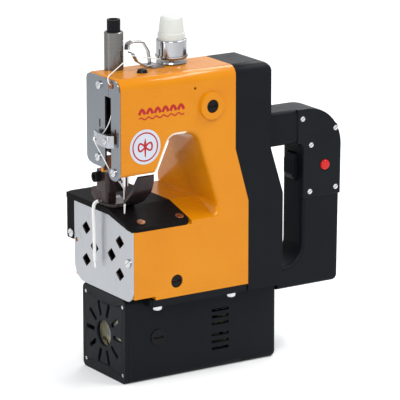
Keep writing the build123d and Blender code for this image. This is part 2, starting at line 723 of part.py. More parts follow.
with BuildPart() as motor_bearings:
    for x, length in [(END_SHIELD_X, BEARING_LENGTH), (REAR_SHIELD_X, 3)]:
        with BuildSketch(x_plane(x)):
            with Locations((0, MOTOR_Z)):
                Circle(BEARING_R)
                Circle(MOTOR_SHAFT_R + RUN, mode=Mode.SUBTRACT)
        extrude(amount=length)
motor_bearings.part.label = "motor_bearings"
export_step(motor_bearings.part, "parts/motor_bearings.step")

with BuildPart() as motor_stator:
    with BuildSketch(x_plane(STATOR_X[0])):
        with Locations((0, MOTOR_Z)):
            RectangleRounded(2 * CAVITY_HALF_Y, 56, 12)
            Circle(ARMATURE_R + 0.6, mode=Mode.SUBTRACT)
    extrude(amount=STATOR_X[1] - STATOR_X[0])
    for x in (STATOR_X[0] - 6, STATOR_X[1]):
        with BuildSketch(x_plane(x)):
            with Locations((0, MOTOR_Z)):
                Circle(27)
                Circle(21.5, mode=Mode.SUBTRACT)
                Rectangle(12, 60, mode=Mode.SUBTRACT)
        extrude(amount=6)
motor_stator.part.label = "motor_stator"
export_step(motor_stator.part, "parts/motor_stator.step")

with BuildPart() as motor_armature:
    with BuildSketch(x_plane(-68)):
        with Locations((0, MOTOR_Z)):
            Circle(MOTOR_SHAFT_R)
    extrude(amount=123)
    with BuildSketch(x_plane(STATOR_X[0])):
        with Locations((0, MOTOR_Z)):
            Circle(ARMATURE_R)
            with PolarLocations(ARMATURE_R, 12):
                Rectangle(5, 2, mode=Mode.SUBTRACT)
    extrude(amount=STATOR_X[1] - STATOR_X[0])
    # commutator with its copper bars
    with BuildSketch(x_plane(-50)):
        with Locations((0, MOTOR_Z)):
            Circle(10)
            with PolarLocations(10, 18):
                Rectangle(1.2, 0.5, mode=Mode.SUBTRACT)
    extrude(amount=15)
motor_armature.part.label = "motor_armature"
export_step(motor_armature.part, "parts/motor_armature.step")


def ring(x, length, outer_r, inner_r, centre):
    """A ring along X, as a part."""
    with BuildPart(mode=Mode.PRIVATE) as made:
        with BuildSketch(x_plane(x)):
            with Locations(centre):
                Circle(outer_r)
                Circle(inner_r, mode=Mode.SUBTRACT)
        extrude(amount=length)
    return made.part


with BuildPart() as carbon_brushes:
    for side in (-1, 1):
        near_end, far_end = sorted((side * 10.4, side * 29))
        add(block((BRUSH_X - 3, near_end, MOTOR_Z - 4), (BRUSH_X + 3, far_end, MOTOR_Z + 4)))
carbon_brushes.part.label = "carbon_brushes"
export_step(carbon_brushes.part, "parts/carbon_brushes.step")

with BuildPart() as motor_fan:
    add(ring(13, 2, 25, MOTOR_SHAFT_R, (0, MOTOR_Z)))
    add(ring(13, 10, 8, MOTOR_SHAFT_R, (0, MOTOR_Z)))
    with BuildSketch(x_plane(14)):
        with Locations((0, MOTOR_Z)):
            with PolarLocations(16, 9):
                Rectangle(17, 1.4)
    extrude(amount=9)
motor_fan.part.label = "motor_fan"
export_step(motor_fan.part, "parts/motor_fan.step")


# ---- Shafts, pulleys, belt ----
def pulley(radius, bore_r, centre):
    """A flanged belt pulley along X, at the belt's plane."""
    with BuildPart(mode=Mode.PRIVATE) as made:
        add(ring(PULLEY_X, PULLEY_WIDTH, radius, bore_r, centre))
        for x in (PULLEY_X - 1, PULLEY_X + PULLEY_WIDTH):
            add(ring(x, 1, radius + 1.6, bore_r, centre))
    return made.part


with BuildPart() as motor_pulley:
    add(pulley(MOTOR_PULLEY_R, MOTOR_SHAFT_R, (0, MOTOR_Z)))
motor_pulley.part.label = "motor_pulley"
export_step(motor_pulley.part, "parts/motor_pulley.step")

with BuildPart() as lower_pulley:
    add(pulley(PULLEY_R, LOWER_SHAFT_R, (SHAFT_Y, LOWER_SHAFT_Z)))
lower_pulley.part.label = "lower_pulley"
export_step(lower_pulley.part, "parts/lower_pulley.step")

with BuildPart() as upper_pulley:
    add(pulley(PULLEY_R, SHAFT_R, (SHAFT_Y, MAIN_SHAFT_Z)))
upper_pulley.part.label = "upper_pulley"
export_step(upper_pulley.part, "parts/upper_pulley.step")


def belt_loop(extra):
    """The area inside the belt's loop round its three pulleys, grown by extra."""
    with BuildSketch(x_plane(PULLEY_X + 1), mode=Mode.PRIVATE) as loop:
        with Locations((0, MOTOR_Z)):
            Circle(MOTOR_PULLEY_R + GAP + extra)
        with Locations((SHAFT_Y, LOWER_SHAFT_Z), (SHAFT_Y, MAIN_SHAFT_Z)):
            Circle(PULLEY_R + GAP + extra)
        make_hull(loop.edges())
    return loop.sketch


with BuildPart() as drive_belt:
    extrude(belt_loop(BELT_THICK), amount=PULLEY_WIDTH - 2)
    extrude(belt_loop(0), amount=PULLEY_WIDTH - 2, mode=Mode.SUBTRACT)
drive_belt.part.label = "drive_belt"
export_step(drive_belt.part, "parts/drive_belt.step")

with BuildPart() as main_shaft:
    with BuildSketch(x_plane(-50)):
        with Locations((SHAFT_Y, MAIN_SHAFT_Z)):
            Circle(SHAFT_R)
    extrude(amount=104)
main_shaft.part.label = "main_shaft"
export_step(main_shaft.part, "parts/main_shaft.step")

with BuildPart() as crank:
    with BuildSketch(x_plane(-56)):
        with Locations((SHAFT_Y, MAIN_SHAFT_Z)):
            Circle(14)
    extrude(amount=6)
    add(ring(-50, 3.4, 8, SHAFT_R, (SHAFT_Y, MAIN_SHAFT_Z)))
    with BuildSketch(x_plane(-59.6)):
        with Locations((SHAFT_Y, CRANK_PIN_Z)):
            Circle(2.5)
    extrude(amount=3.6)
crank.part.label = "crank"
export_step(crank.part, "parts/crank.step")

with BuildPart() as connecting_rod:
    with BuildSketch(x_plane(-59.4)):
        with BuildLine():
            Polyline(
                (SHAFT_Y - 2.6, ROD_EYE_Z),
                (SHAFT_Y - 2.6, CRANK_PIN_Z),
                (SHAFT_Y + 2.6, CRANK_PIN_Z),
                (SHAFT_Y + 2.6, ROD_EYE_Z),
                close=True,
            )
        make_face()
        with Locations((SHAFT_Y, ROD_EYE_Z), (SHAFT_Y, CRANK_PIN_Z)):
            Circle(5)
        with Locations((SHAFT_Y, ROD_EYE_Z), (SHAFT_Y, CRANK_PIN_Z)):
            Circle(2.5 + RUN, mode=Mode.SUBTRACT)
    extrude(amount=3)
connecting_rod.part.label = "connecting_rod"
export_step(connecting_rod.part, "parts/connecting_rod.step")

with BuildPart() as shaft_bushes:
    for x, length in [(-46, 10), (8, 8)]:
        add(ring(x, length, 8, SHAFT_R + RUN, (SHAFT_Y, MAIN_SHAFT_Z)))
    for x, length in [(-44, 10), (12, 8)]:
        add(ring(x, length, 7, LOWER_SHAFT_R + RUN, (SHAFT_Y, LOWER_SHAFT_Z)))
    with BuildSketch(z_plane(190)):
        with Locations((NEEDLE_X, SHAFT_Y)):
            Circle(5.2)
            Circle(NEEDLE_BAR_R + RUN, mode=Mode.SUBTRACT)
    extrude(amount=13)
shaft_bushes.part.label = "shaft_bushes"
export_step(shaft_bushes.part, "parts/shaft_bushes.step")

with BuildPart() as lower_shaft:
    with BuildSketch(x_plane(-64)):
        with Locations((SHAFT_Y, LOWER_SHAFT_Z)):
            Circle(LOWER_SHAFT_R)
    extrude(amount=118)
    with BuildSketch(x_plane(-53)):
        with Locations((SHAFT_Y, LOWER_SHAFT_Z + 1.5)):
            Circle(8)
    extrude(amount=5)
lower_shaft.part.label = "lower_shaft"
export_step(lower_shaft.part, "parts/lower_shaft.step")

LOOPER_X = -63.6
with BuildPart() as looper:
    add(ring(LOOPER_X, 3, 15.6, LOWER_SHAFT_R, (SHAFT_Y, LOWER_SHAFT_Z)))
    with BuildSketch(x_plane(LOOPER_X - 1)):
        with Locations((SHAFT_Y + 9, LOWER_SHAFT_Z + 10)):
            Circle(11)
        with Locations((SHAFT_Y - 12, LOWER_SHAFT_Z - 3)):
            Circle(5)
    extrude(amount=5, mode=Mode.SUBTRACT)
    add(ring(LOOPER_X, 6, 7, LOWER_SHAFT_R, (SHAFT_Y, LOWER_SHAFT_Z)))
looper.part.label = "looper"
export_step(looper.part, "parts/looper.step")

# ---- Needle bar group ----
NEEDLE_BAR_LOW_Z = 164.0
NEEDLE_BAR_HIGH_Z = 216.0

with BuildPart() as needle_bar:
    with BuildSketch(z_plane(NEEDLE_BAR_LOW_Z)):
        with Locations((NEEDLE_X, SHAFT_Y)):
            Circle(NEEDLE_BAR_R)
    extrude(amount=NEEDLE_BAR_HIGH_Z - NEEDLE_BAR_LOW_Z)
    with BuildSketch(z_plane(NEEDLE_BAR_LOW_Z)):
        with Locations((NEEDLE_X, SHAFT_Y)):
            Circle(1.0)
    extrude(amount=10, mode=Mode.SUBTRACT)
    with BuildSketch(front_facing(NEEDLE_X - 6, SHAFT_Y, 168)):
        Circle(0.9)
    extrude(amount=-6, mode=Mode.SUBTRACT)
needle_bar.part.label = "needle_bar"
export_step(needle_bar.part, "parts/needle_bar.step")

with BuildPart() as needle_bar_clamp:
    add(block((-71.5, -26.5, 204), (-60.6, -14.5, 212)))
    add(block((-78, -31, 204), (-71, -24.5, 212)))
    with BuildSketch(z_plane(203)):
        with Locations((NEEDLE_X, SHAFT_Y)):
            Circle(NEEDLE_BAR_R)
    extrude(amount=10, mode=Mode.SUBTRACT)
needle_bar_clamp.part.label = "needle_bar_clamp"
export_step(needle_bar_clamp.part, "parts/needle_bar_clamp.step")

with BuildPart() as needle:
    with BuildSketch(z_plane(146)):
        with Locations((NEEDLE_X, SHAFT_Y)):
            Circle(0.95)
    extrude(amount=27)
    with BuildSketch(z_plane(146)):
        with Locations((NEEDLE_X, SHAFT_Y)):
            Circle(0.75)
    extrude(amount=-14)
    with BuildSketch(z_plane(132)):
        with Locations((NEEDLE_X, SHAFT_Y)):
            Circle(0.75)
    extrude(amount=-4, taper=8)
    with BuildSketch(y_plane(SHAFT_Y - 2)):
        with Locations((NEEDLE_X, 134)):
            SlotOverall(2.4, 0.6, rotation=90)
    extrude(amount=-4, mode=Mode.SUBTRACT)
needle.part.label = "needle"
export_step(needle.part, "parts/needle.step")

with BuildPart() as take_up:
    # stem through the face slot, then a curved guard with a thread hole at its far end
    add(block((-88, -31, 205), (-78, -27.4, 211)))
    with BuildSketch(z_plane(202)):
        with BuildLine():
            FilletPolyline(
                (-86.9, -40.5),
                (-91.8, -38),
                (-91.8, -22),
                (-88.2, -11),
                (-87.2, -11.3),
                (-90.5, -22),
                (-90.5, -37),
                (-86.9, -39),
                radius=[0.3, 3, 6, 0.3, 0.3, 5, 2, 0.3],
                close=True,
            )
        make_face()
    extrude(amount=10)
    add(block((-91.2, -31, 203), (-86.8, -27.4, 211)))
    with BuildSketch(front_facing(-95, -14.2, 206)):
        Circle(1.3)
    extrude(amount=-10, mode=Mode.SUBTRACT)
    with BuildSketch(front_facing(-95, -34.5, 207)):
        Circle(0.85)
    extrude(amount=-10, mode=Mode.SUBTRACT)
take_up.part.label = "take_up"
export_step(take_up.part, "parts/take_up.step")

with BuildPart() as needle_screws:
    add(pan_screw(front_facing(NEEDLE_X - NEEDLE_BAR_R, SHAFT_Y, 168), 1.8, 1.6, 0.85, 1.6))
    add(pan_screw(front_facing(-91.8, -34.5, 207), 2.6, 1.2, 0.8, 1.0))
needle_screws.part.label = "needle_screws"
export_step(needle_screws.part, "parts/needle_screws.step")

# ---- Presser bar group ----
ADJUSTER_LOW_Z = 280.0
SPRING_LOW_Z = 260.0
TUBE_TOP_Z = 288.0
FOOT_CLAMP_LOW_Z = 158.0

with BuildPart() as presser_bar:
    with BuildSketch(z_plane(FOOT_CLAMP_LOW_Z + 1)):
        with Locations((PRESSER_X, PRESSER_Y)):
            Circle(PRESSER_BAR_R)
    extrude(amount=289 - FOOT_CLAMP_LOW_Z)
    with BuildSketch(z_plane(SPRING_LOW_Z - 2)):
        with Locations((PRESSER_X, PRESSER_Y)):
            Circle(5.8)
    extrude(amount=2)
presser_bar.part.label = "presser_bar"
export_step(presser_bar.part, "parts/presser_bar.step")

with BuildPart() as presser_tube:
    with BuildSketch(z_plane(244)):
        with Locations((PRESSER_X, PRESSER_Y)):
            Circle(5.95)
    extrude(amount=13)
    with BuildSketch(z_plane(HEAD_TOP_Z)):
        with Locations((PRESSER_X, PRESSER_Y)):
            Circle(7.9)
    extrude(amount=TUBE_TOP_Z - HEAD_TOP_Z)
    chamfer(presser_tube.edges().group_by(Axis.Z)[-1], 0.5)
    with BuildSketch(z_plane(243)):
        with Locations((PRESSER_X, PRESSER_Y)):
            Circle(PRESSER_BAR_R + RUN)
    extrude(amount=20, mode=Mode.SUBTRACT)
    with BuildSketch(z_plane(257.5)):
        with Locations((PRESSER_X, PRESSER_Y)):
            Circle(6.4)
    extrude(amount=40, mode=Mode.SUBTRACT)
presser_tube.part.label = "presser_tube"
export_step(presser_tube.part, "parts/presser_tube.step")

with BuildPart() as presser_adjuster:
    with BuildSketch(z_plane(ADJUSTER_LOW_Z)):
        with Locations((PRESSER_X, PRESSER_Y)):
            Circle(6.05)
    extrude(amount=TUBE_TOP_Z - ADJUSTER_LOW_Z)
    with BuildSketch(z_plane(TUBE_TOP_Z)):
        with Locations((PRESSER_X, PRESSER_Y)):
            Circle(5.5)
            with PolarLocations(5.7, 14):
                Circle(0.5, mode=Mode.SUBTRACT)
    extrude(amount=10)
    with BuildSketch(z_plane(ADJUSTER_LOW_Z)):
        with Locations((PRESSER_X, PRESSER_Y)):
            Circle(3.9)
    extrude(amount=20, mode=Mode.SUBTRACT)
presser_adjuster.part.label = "presser_adjuster"
export_step(presser_adjuster.part, "parts/presser_adjuster.step")


def coil_spring(x, y, low_z, high_z, radius, wire_r, turns):
    """A round-wire compression spring between two heights."""
    pitch = (high_z - low_z - 2 * wire_r) / turns
    with BuildPart(mode=Mode.PRIVATE) as made:
        with BuildLine() as path:
            Helix(pitch, high_z - low_z - 2 * wire_r, radius, center=(x, y, low_z + wire_r))
        with BuildSketch(Plane(origin=path.line @ 0, z_dir=path.line % 0)):
            Circle(wire_r)
        sweep()
    return made.part


with BuildPart() as presser_spring:
    add(coil_spring(PRESSER_X, PRESSER_Y, SPRING_LOW_Z, ADJUSTER_LOW_Z, 4.9, 0.5, 6))
presser_spring.part.label = "presser_spring"
export_step(presser_spring.part, "parts/presser_spring.step")

SOLE_Z = BED_TOP_Z + 0.35


def foot_outline():
    """End view of the foot: a sole whose near toe and far heel both turn up."""
    with BuildSketch(x_plane(-80), mode=Mode.PRIVATE) as outline:
        with BuildLine():
            FilletPolyline(
                (22, 153.5),
                (9, SOLE_Z),
                (-13, SOLE_Z),
                (-24, 149.5),
                (-36, 160.5),
                (-43.4, 175.5),
                (-41.4, 176.3),
                (-33.6, 161.5),
                (-22.3, 151.5),
                (-12.6, SOLE_Z + 2.4),
                (8, SOLE_Z + 2.4),
                (21.4, 155.5),
                radius=[0.3, 6, 14, 20, 20, 0.5, 0.5, 18, 18, 12, 8, 0.3],
                close=True,
            )
        make_face()
    return outline.sketch


with BuildPart() as presser_foot:
    extrude(foot_outline(), amount=40)
    # plan outline: the sole narrows to a rounded toe and a rounded heel
    with BuildSketch(z_plane(140)):
        with BuildLine():
            FilletPolyline(
                (-74, 22),
                (-74, -4),
                (-70, -14),
                (-68, -34),
                (-65.5, -44),
                (-50.5, -44),
                (-49, -34),
                (-51, -12),
                (-52, 10),
                (-58, 22),
                radius=[6, 8, 8, 8, 5, 5, 8, 8, 6, 4],
                close=True,
            )
        make_face()
    extrude(amount=40, mode=Mode.INTERSECT)
    # clamp block round the presser bar and the wall that carries it
    with BuildSketch(z_plane(FOOT_CLAMP_LOW_Z)):
        with Locations((-68, -4.5)):
            RectangleRounded(20, 18, 3)
    extrude(amount=17)
    with BuildSketch(z_plane(SOLE_Z + 1)):
        with Locations((-68, 0)):
            RectangleRounded(10, 9, 2)
    extrude(amount=14)
    with BuildSketch(z_plane(FOOT_CLAMP_LOW_Z + 1)):
        with Locations((PRESSER_X, PRESSER_Y)):
            Circle(PRESSER_BAR_R)
    extrude(amount=20, mode=Mode.SUBTRACT)
    with BuildSketch(front_facing(-70, -1, 169.5)):
        Circle(1.9)
    extrude(amount=20, mode=Mode.SUBTRACT)
    # needle slot in the toe
    add(block((NEEDLE_X - 8, SHAFT_Y - 4, 140), (NEEDLE_X + 2, SHAFT_Y + 5, 157)), mode=Mode.SUBTRACT)
presser_foot.part.label = "presser_foot"
export_step(presser_foot.part, "parts/presser_foot.step")

with BuildPart() as presser_foot_screw:
    add(socket_screw(front_facing(-78, -1, 169.5), 4.2, 4.6, 1.85, 7.8))
presser_foot_screw.part.label = "presser_foot_screw"
export_step(presser_foot_screw.part, "parts/presser_foot_screw.step")

# ---- Thread tension on top of the arm ----
with BuildPart() as tension_post:
    with BuildSketch(z_plane(249)):
        with Locations((TENSION_X, TENSION_Y)):
            Circle(2.4)
    extrude(amount=8)
    with BuildSketch(z_plane(HEAD_TOP_Z)):
        with Locations((TENSION_X, TENSION_Y)):
            Circle(7)
    extrude(amount=1)
    with BuildSketch(z_plane(HEAD_TOP_Z)):
        with Locations((TENSION_X, TENSION_Y)):
            Circle(2)
    extrude(amount=33)
tension_post.part.label = "tension_post"
export_step(tension_post.part, "parts/tension_post.step")

with BuildPart() as tension_discs:
    for low_z, dish in [(258.1, 20), (261.4, -20)]:
        with BuildSketch(z_plane(low_z)):
            with Locations((TENSION_X, TENSION_Y)):
                Circle(12.6)
        extrude(amount=1.2, taper=dish)
    with BuildSketch(z_plane(HEAD_TOP_Z)):
        with Locations((TENSION_X, TENSION_Y)):
            Circle(2.1)
    extrude(amount=10, mode=Mode.SUBTRACT)
tension_discs.part.label = "tension_discs"
export_step(tension_discs.part, "parts/tension_discs.step")

with BuildPart() as tension_cup:
    with BuildSketch(z_plane(263)):
        with Locations((TENSION_X, TENSION_Y)):
            Circle(13.6)
    extrude(amount=1.1)
    with BuildSketch(z_plane(264.1)):
        with Locations((TENSION_X, TENSION_Y)):
            Circle(12.6)
    extrude(amount=12.9)
    fillet(tension_cup.edges().group_by(Axis.Z)[-1], 1)
    with BuildSketch(z_plane(264.5)):
        with Locations((TENSION_X, TENSION_Y)):
            Circle(11.6)
    extrude(amount=20, mode=Mode.SUBTRACT)
    with BuildSketch(z_plane(262)):
        with Locations((TENSION_X, TENSION_Y)):
            Circle(2.05)
    extrude(amount=5, mode=Mode.SUBTRACT)
tension_cup.part.label = "tension_cup"
export_step(tension_cup.part, "parts/tension_cup.step")

with BuildPart() as tension_spring:
    add(coil_spring(TENSION_X, TENSION_Y, 264.6, 274.6, 6, 0.6, 4))
tension_spring.part.label = "tension_spring"
export_step(tension_spring.part, "parts/tension_spring.step")

with BuildPart() as tension_knob:
    with BuildSketch(z_plane(275)):
        with Locations((TENSION_X, TENSION_Y)):
            Circle(11.2)
    extrude(amount=7.4)
    fillet(tension_knob.edges().group_by(Axis.Z)[-1], 0.6)
    with BuildSketch(z_plane(282.4)):
        with Locations((TENSION_X, TENSION_Y)):
            Circle(10.5)
    extrude(amount=13.6, taper=6.5)
    fillet(tension_knob.faces().sort_by(Axis.Z)[-1].edges(), 2.4)
    with BuildSketch(z_plane(283)):
        with Locations((TENSION_X, TENSION_Y)):
            with PolarLocations(10.7, 24):
                Circle(0.55)
    extrude(amount=9, taper=6.5, mode=Mode.SUBTRACT)
    with BuildSketch(z_plane(274)):
        with Locations((TENSION_X, TENSION_Y)):
            Circle(2 + RUN)
    extrude(amount=18, mode=Mode.SUBTRACT)
tension_knob.part.label = "tension_knob"
export_step(tension_knob.part, "parts/tension_knob.step")

GUIDE_STRIP_WIDTH = 4.6
GUIDE_STRIP_THICK = 1.0


def wire(points, radius, wire_r):
    """A bent wire through the points, as a swept round bar."""
    with BuildPart(mode=Mode.PRIVATE) as made:
        with BuildLine() as path:
            FilletPolyline(*points, radius=radius)
        with BuildSketch(Plane(origin=path.line @ 0, z_dir=path.line % 0)):
            Circle(wire_r)
        sweep()
    return made.part


def strip(points, radius, width, thick):
    """A bent flat strip of spring sheet through the points, its width along Y."""
    with BuildPart(mode=Mode.PRIVATE) as made:
        with BuildLine() as path:
            FilletPolyline(*points, radius=radius)
        with BuildSketch(Plane(origin=path.line @ 0, x_dir=(0, 1, 0), z_dir=path.line % 0)):
            RectangleRounded(width, thick, thick * 0.3)
        sweep()
    return made.part


with BuildPart() as thread_guide:
    guide_base_low = (TENSION_X - 26, TENSION_Y - 13, HEAD_TOP_Z)
    guide_base_high = (TENSION_X - 14.4, TENSION_Y + 6, HEAD_TOP_Z + 1.2)
    add(block(guide_base_low, guide_base_high))
    near_arm = [
        (-35, -15, 259.1),
        (-43, -16, 259.4),
        (-51, -16.6, 264),
        (-55, -16.6, 271),
        (-58, -16.8, 272.5),
    ]
    far_arm = [
        (-31, -4, 258.2),
        (-32, -3, 268),
        (-38.5, -5, 277),
        (-50, -8, 279),
        (-55.2, -9, 277.5),
        (-56, -9.8, 273),
    ]
    add(strip(near_arm, 3, GUIDE_STRIP_WIDTH, GUIDE_STRIP_THICK))
    add(strip(far_arm, 2.2, GUIDE_STRIP_WIDTH, GUIDE_STRIP_THICK))
thread_guide.part.label = "thread_guide"
export_step(thread_guide.part, "parts/thread_guide.step")

# ---- Feed ----
FEED_X = (-60.0, -51.0)
with BuildPart() as feed_dog:
    add(block((FEED_X[0], -8, 131), (FEED_X[1], 14, 137)))
    for centre_x in (-58.5, -52.5):
        for i in range(6):
            tooth_y = -8 + i * 3.6
            with BuildSketch(x_plane(centre_x - 1.2)):
                with BuildLine():
                    Polyline(
                        (tooth_y, 137),
                        (tooth_y, 143.2),
                        (tooth_y + 3.4, 144.2),
                        (tooth_y + 3.6, 137),
                        close=True,
                    )
                make_face()
            extrude(amount=2.4)
feed_dog.part.label = "feed_dog"
export_step(feed_dog.part, "parts/feed_dog.step")

with BuildPart() as feed_bar:
    add(block((-59.0, -2, 119), (-45.0, 12, 129.4)))
    with BuildSketch(y_plane(-4)):
        with Locations((-50, 124)):
            Circle(3 + RUN)
    extrude(amount=-30, mode=Mode.SUBTRACT)
    add(block((-59.0, -2, 129), (-52, 12, 131)))
feed_bar.part.label = "feed_bar"
export_step(feed_bar.part, "parts/feed_bar.step")

with BuildPart() as feed_guide_rod:
    with BuildSketch(y_plane(41)):
        with Locations((-50, 124)):
            Circle(3)
    extrude(amount=51)
feed_guide_rod.part.label = "feed_guide_rod"
export_step(feed_guide_rod.part, "parts/feed_guide_rod.step")

# ---- Handle ----
HANDLE_MID_Y = (HANDLE_NEAR_Y + HANDLE_FAR_Y) / 2


def handle_outline(inset):
    """Side view of the D-shaped handle; the opening is cut by its inner outline."""
    with BuildSketch(Plane.XZ, mode=Mode.PRIVATE) as outline:
        with BuildLine():
            FilletPolyline(
                (50, 57.7),
                (135.3, 57.7),
                (GRIP_REAR_X, 210),
                (50, 210),
                radius=[0, 5, 34, 0],
                close=True,
            )
        make_face()
        with BuildLine():
            FilletPolyline(
                (50, 77.2),
                (GRIP_FRONT_X - 0.5, 77.2),
                (GRIP_FRONT_X, 181),
                (50, 181),
                radius=[0, 17, 5, 0],
                close=True,
            )
        make_face(mode=Mode.SUBTRACT)
        if inset:
            offset(amount=-inset, kind=Kind.INTERSECTION)
    return outline.sketch


def switch_region():
    """Side view of the part of the handle that the switch cover closes."""
    with BuildSketch(Plane.XZ, mode=Mode.PRIVATE) as outline:
        with BuildLine():
            Polyline(
                (COVER_SPLIT_X, COVER_SPLIT_Z),
                (150, COVER_SPLIT_Z),
                (150, 220),
                (COVER_SPLIT_X, 220),
                close=True,
            )
        make_face()
    return outline.sketch


SOCKET_Z = 95.0

with BuildPart() as handle_body:
    extrude(Pos(0, HANDLE_FAR_Y, 0) * handle_outline(0), amount=HANDLE_FAR_Y - HANDLE_NEAR_Y)
    fillet(handle_body.faces().sort_by(Axis.Y)[-1].edges(), 3.5)
    lower_faces = handle_body.faces().sort_by(Axis.Y)[0]
    fillet(lower_faces.edges(), 3.5)
    # meets the rear cover and the motor's rear cap face to face
    add(outer_form.part, mode=Mode.SUBTRACT)
    add(block((40, -50, 50), (HOUSING_REAR_X, 50, COVER_BOTTOM_Z)), mode=Mode.SUBTRACT)
    # room for the switch cover, then the pocket behind it
    cover_inner_y = SWITCH_COVER_Y + SWITCH_COVER_THICK
    add(block((COVER_SPLIT_X, -60, COVER_SPLIT_Z), (150, cover_inner_y, 220)), mode=Mode.SUBTRACT)
    with BuildSketch(y_plane(HANDLE_FAR_Y - HANDLE_WALL)):
        add(handle_outline(HANDLE_WALL))
        with Locations((70, 150)):
            Rectangle(48, 300, mode=Mode.SUBTRACT)
        with Locations((100, 60)):
            Rectangle(100, 154, mode=Mode.SUBTRACT)
    extrude(amount=30, mode=Mode.SUBTRACT)
    with BuildSketch(y_plane(HANDLE_FAR_Y - 1)):
        with Locations(*SWITCH_SCREWS):
            Circle(4)
    extrude(amount=HANDLE_FAR_Y - 1 - cover_inner_y)
    with BuildSketch(y_plane(cover_inner_y)):
        with Locations(*SWITCH_SCREWS):
            Circle(1.6)
    extrude(amount=-10, mode=Mode.SUBTRACT)
    # trigger slot in the grip's front wall
    add(block((90, -27.4, 147), (104, -13.6, 171)), mode=Mode.SUBTRACT)
    # power socket in the rear face
    socket_low = (GRIP_REAR_X - 16, HANDLE_MID_Y - 12, SOCKET_Z - 13)
    socket_high = (145, HANDLE_MID_Y + 12, SOCKET_Z + 13)
    add(block(socket_low, socket_high), mode=Mode.SUBTRACT)
handle_body.part.label = "handle_body"
export_step(handle_body.part, "parts/handle_body.step")

with BuildPart() as switch_cover:
    with BuildSketch(y_plane(SWITCH_COVER_Y + SWITCH_COVER_THICK)):
        add(handle_outline(0))
        add(switch_region(), mode=Mode.INTERSECT)
    extrude(amount=SWITCH_COVER_THICK)
    fillet(switch_cover.faces().sort_by(Axis.Y)[0].edges(), 1.2)
    with BuildSketch(y_plane(SWITCH_COVER_Y)):
        with Locations(*SWITCH_SCREWS):
            Circle(2.6)
    extrude(amount=-1.4, mode=Mode.SUBTRACT)
    with BuildSketch(y_plane(SWITCH_COVER_Y)):
        with Locations(*SWITCH_SCREWS):
            Circle(1.7)
        with Locations((BUTTON_X, BUTTON_Z)):
            Circle(4.9)
    extrude(amount=-4, mode=Mode.SUBTRACT)
switch_cover.part.label = "switch_cover"
export_step(switch_cover.part, "parts/switch_cover.step")

with BuildPart() as trigger:
    with BuildSketch(y_plane(-14.2)):
        with BuildLine():
            FilletPolyline(
                (104, 147.8),
                (96, 147.8),
                (93.4, 153),
                (93.4, 165),
                (96, 170.2),
                (104, 170.2),
                radius=[0.2, 2, 3, 3, 2, 0.2],
                close=True,
            )
        make_face()
    extrude(amount=12.6)
    fillet(trigger.edges().filter_by(GeomType.LINE).group_by(Axis.X)[0], 0.8)
    add(block((102.4, -29, 145.2), (104.4, -12, 172.8)))
    add(block((104, -24, 154), (108, -17, 164)))
trigger.part.label = "trigger"
export_step(trigger.part, "parts/trigger.step")

with BuildPart() as switch_body:
    add(block((114.5, -28.8, 146), (128, -11, 174)))
    with BuildSketch(y_plane(-28.8)):
        with Locations((BUTTON_X, BUTTON_Z)):
            Circle(3)
    extrude(amount=-6, mode=Mode.SUBTRACT)
switch_body.part.label = "switch_body"
export_step(switch_body.part, "parts/switch_body.step")

with BuildPart() as lock_button:
    with BuildSketch(y_plane(-33)):
        with Locations((BUTTON_X, BUTTON_Z)):
            Circle(4.5)
    extrude(amount=5)
    fillet(lock_button.faces().sort_by(Axis.Y)[0].edges(), 1.8)
    with BuildSketch(y_plane(-32)):
        with Locations((BUTTON_X, BUTTON_Z)):
            Circle(6)
    extrude(amount=1.2)
    with BuildSketch(y_plane(-25)):
        with Locations((BUTTON_X, BUTTON_Z)):
            Circle(2.6)
    extrude(amount=7)
lock_button.part.label = "lock_button"
export_step(lock_button.part, "parts/lock_button.step")

with BuildPart() as power_inlet:
    inlet_low = (GRIP_REAR_X - 15.9, HANDLE_MID_Y - 11.9, SOCKET_Z - 12.9)
    inlet_high = (135.4, HANDLE_MID_Y + 11.9, SOCKET_Z + 12.9)
    add(block(inlet_low, inlet_high))
    well_low = (124, HANDLE_MID_Y - 8.5, SOCKET_Z - 9)
    well_high = (138, HANDLE_MID_Y + 8.5, SOCKET_Z + 9)
    add(block(well_low, well_high), mode=Mode.SUBTRACT)
    for y, z in [(-4, -4), (4, -4), (0, 4)]:
        pin_y = HANDLE_MID_Y + y
        pin_z = SOCKET_Z + z
        add(block((123, pin_y - 1, pin_z - 2), (133, pin_y + 1, pin_z + 2)))
power_inlet.part.label = "power_inlet"
export_step(power_inlet.part, "parts/power_inlet.step")

# ---- Black screws of the plate, grille, switch cover and flange ----
with BuildPart() as housing_screws:
    for x in (-60.5, -24):
        seat = Plane(origin=(x, SLOPE_SCREW_Y, slope_screw_z + 0.1), x_dir=(1, 0, 0), z_dir=slope_normal)
        add(pan_screw(seat, 3.6, 0.9, 1.3, 2.6))
    for y in (-GRILLE_SCREW_Y, GRILLE_SCREW_Y):
        for z in GRILLE_SCREW_Z:
            add(pan_screw(front_facing(HOUSING_FRONT_X + 1.2, y, z), 1.65, 0.9, 1.5, 8))
    for x, z in SWITCH_SCREWS:
        add(pan_screw(near_facing(x, SWITCH_COVER_Y + 1.4, z), 2.5, 1.2, 1.5, 7))
    for x, y in FLANGE_SCREWS:
        seat = Plane(origin=(x, y, FLANGE_BOTTOM_Z), x_dir=(1, 0, 0), z_dir=(0, 0, -1))
        add(pan_screw(seat, 4.6, 4.2, 2.4, 6))
housing_screws.part.label = "housing_screws"
export_step(housing_screws.part, "parts/housing_screws.step")

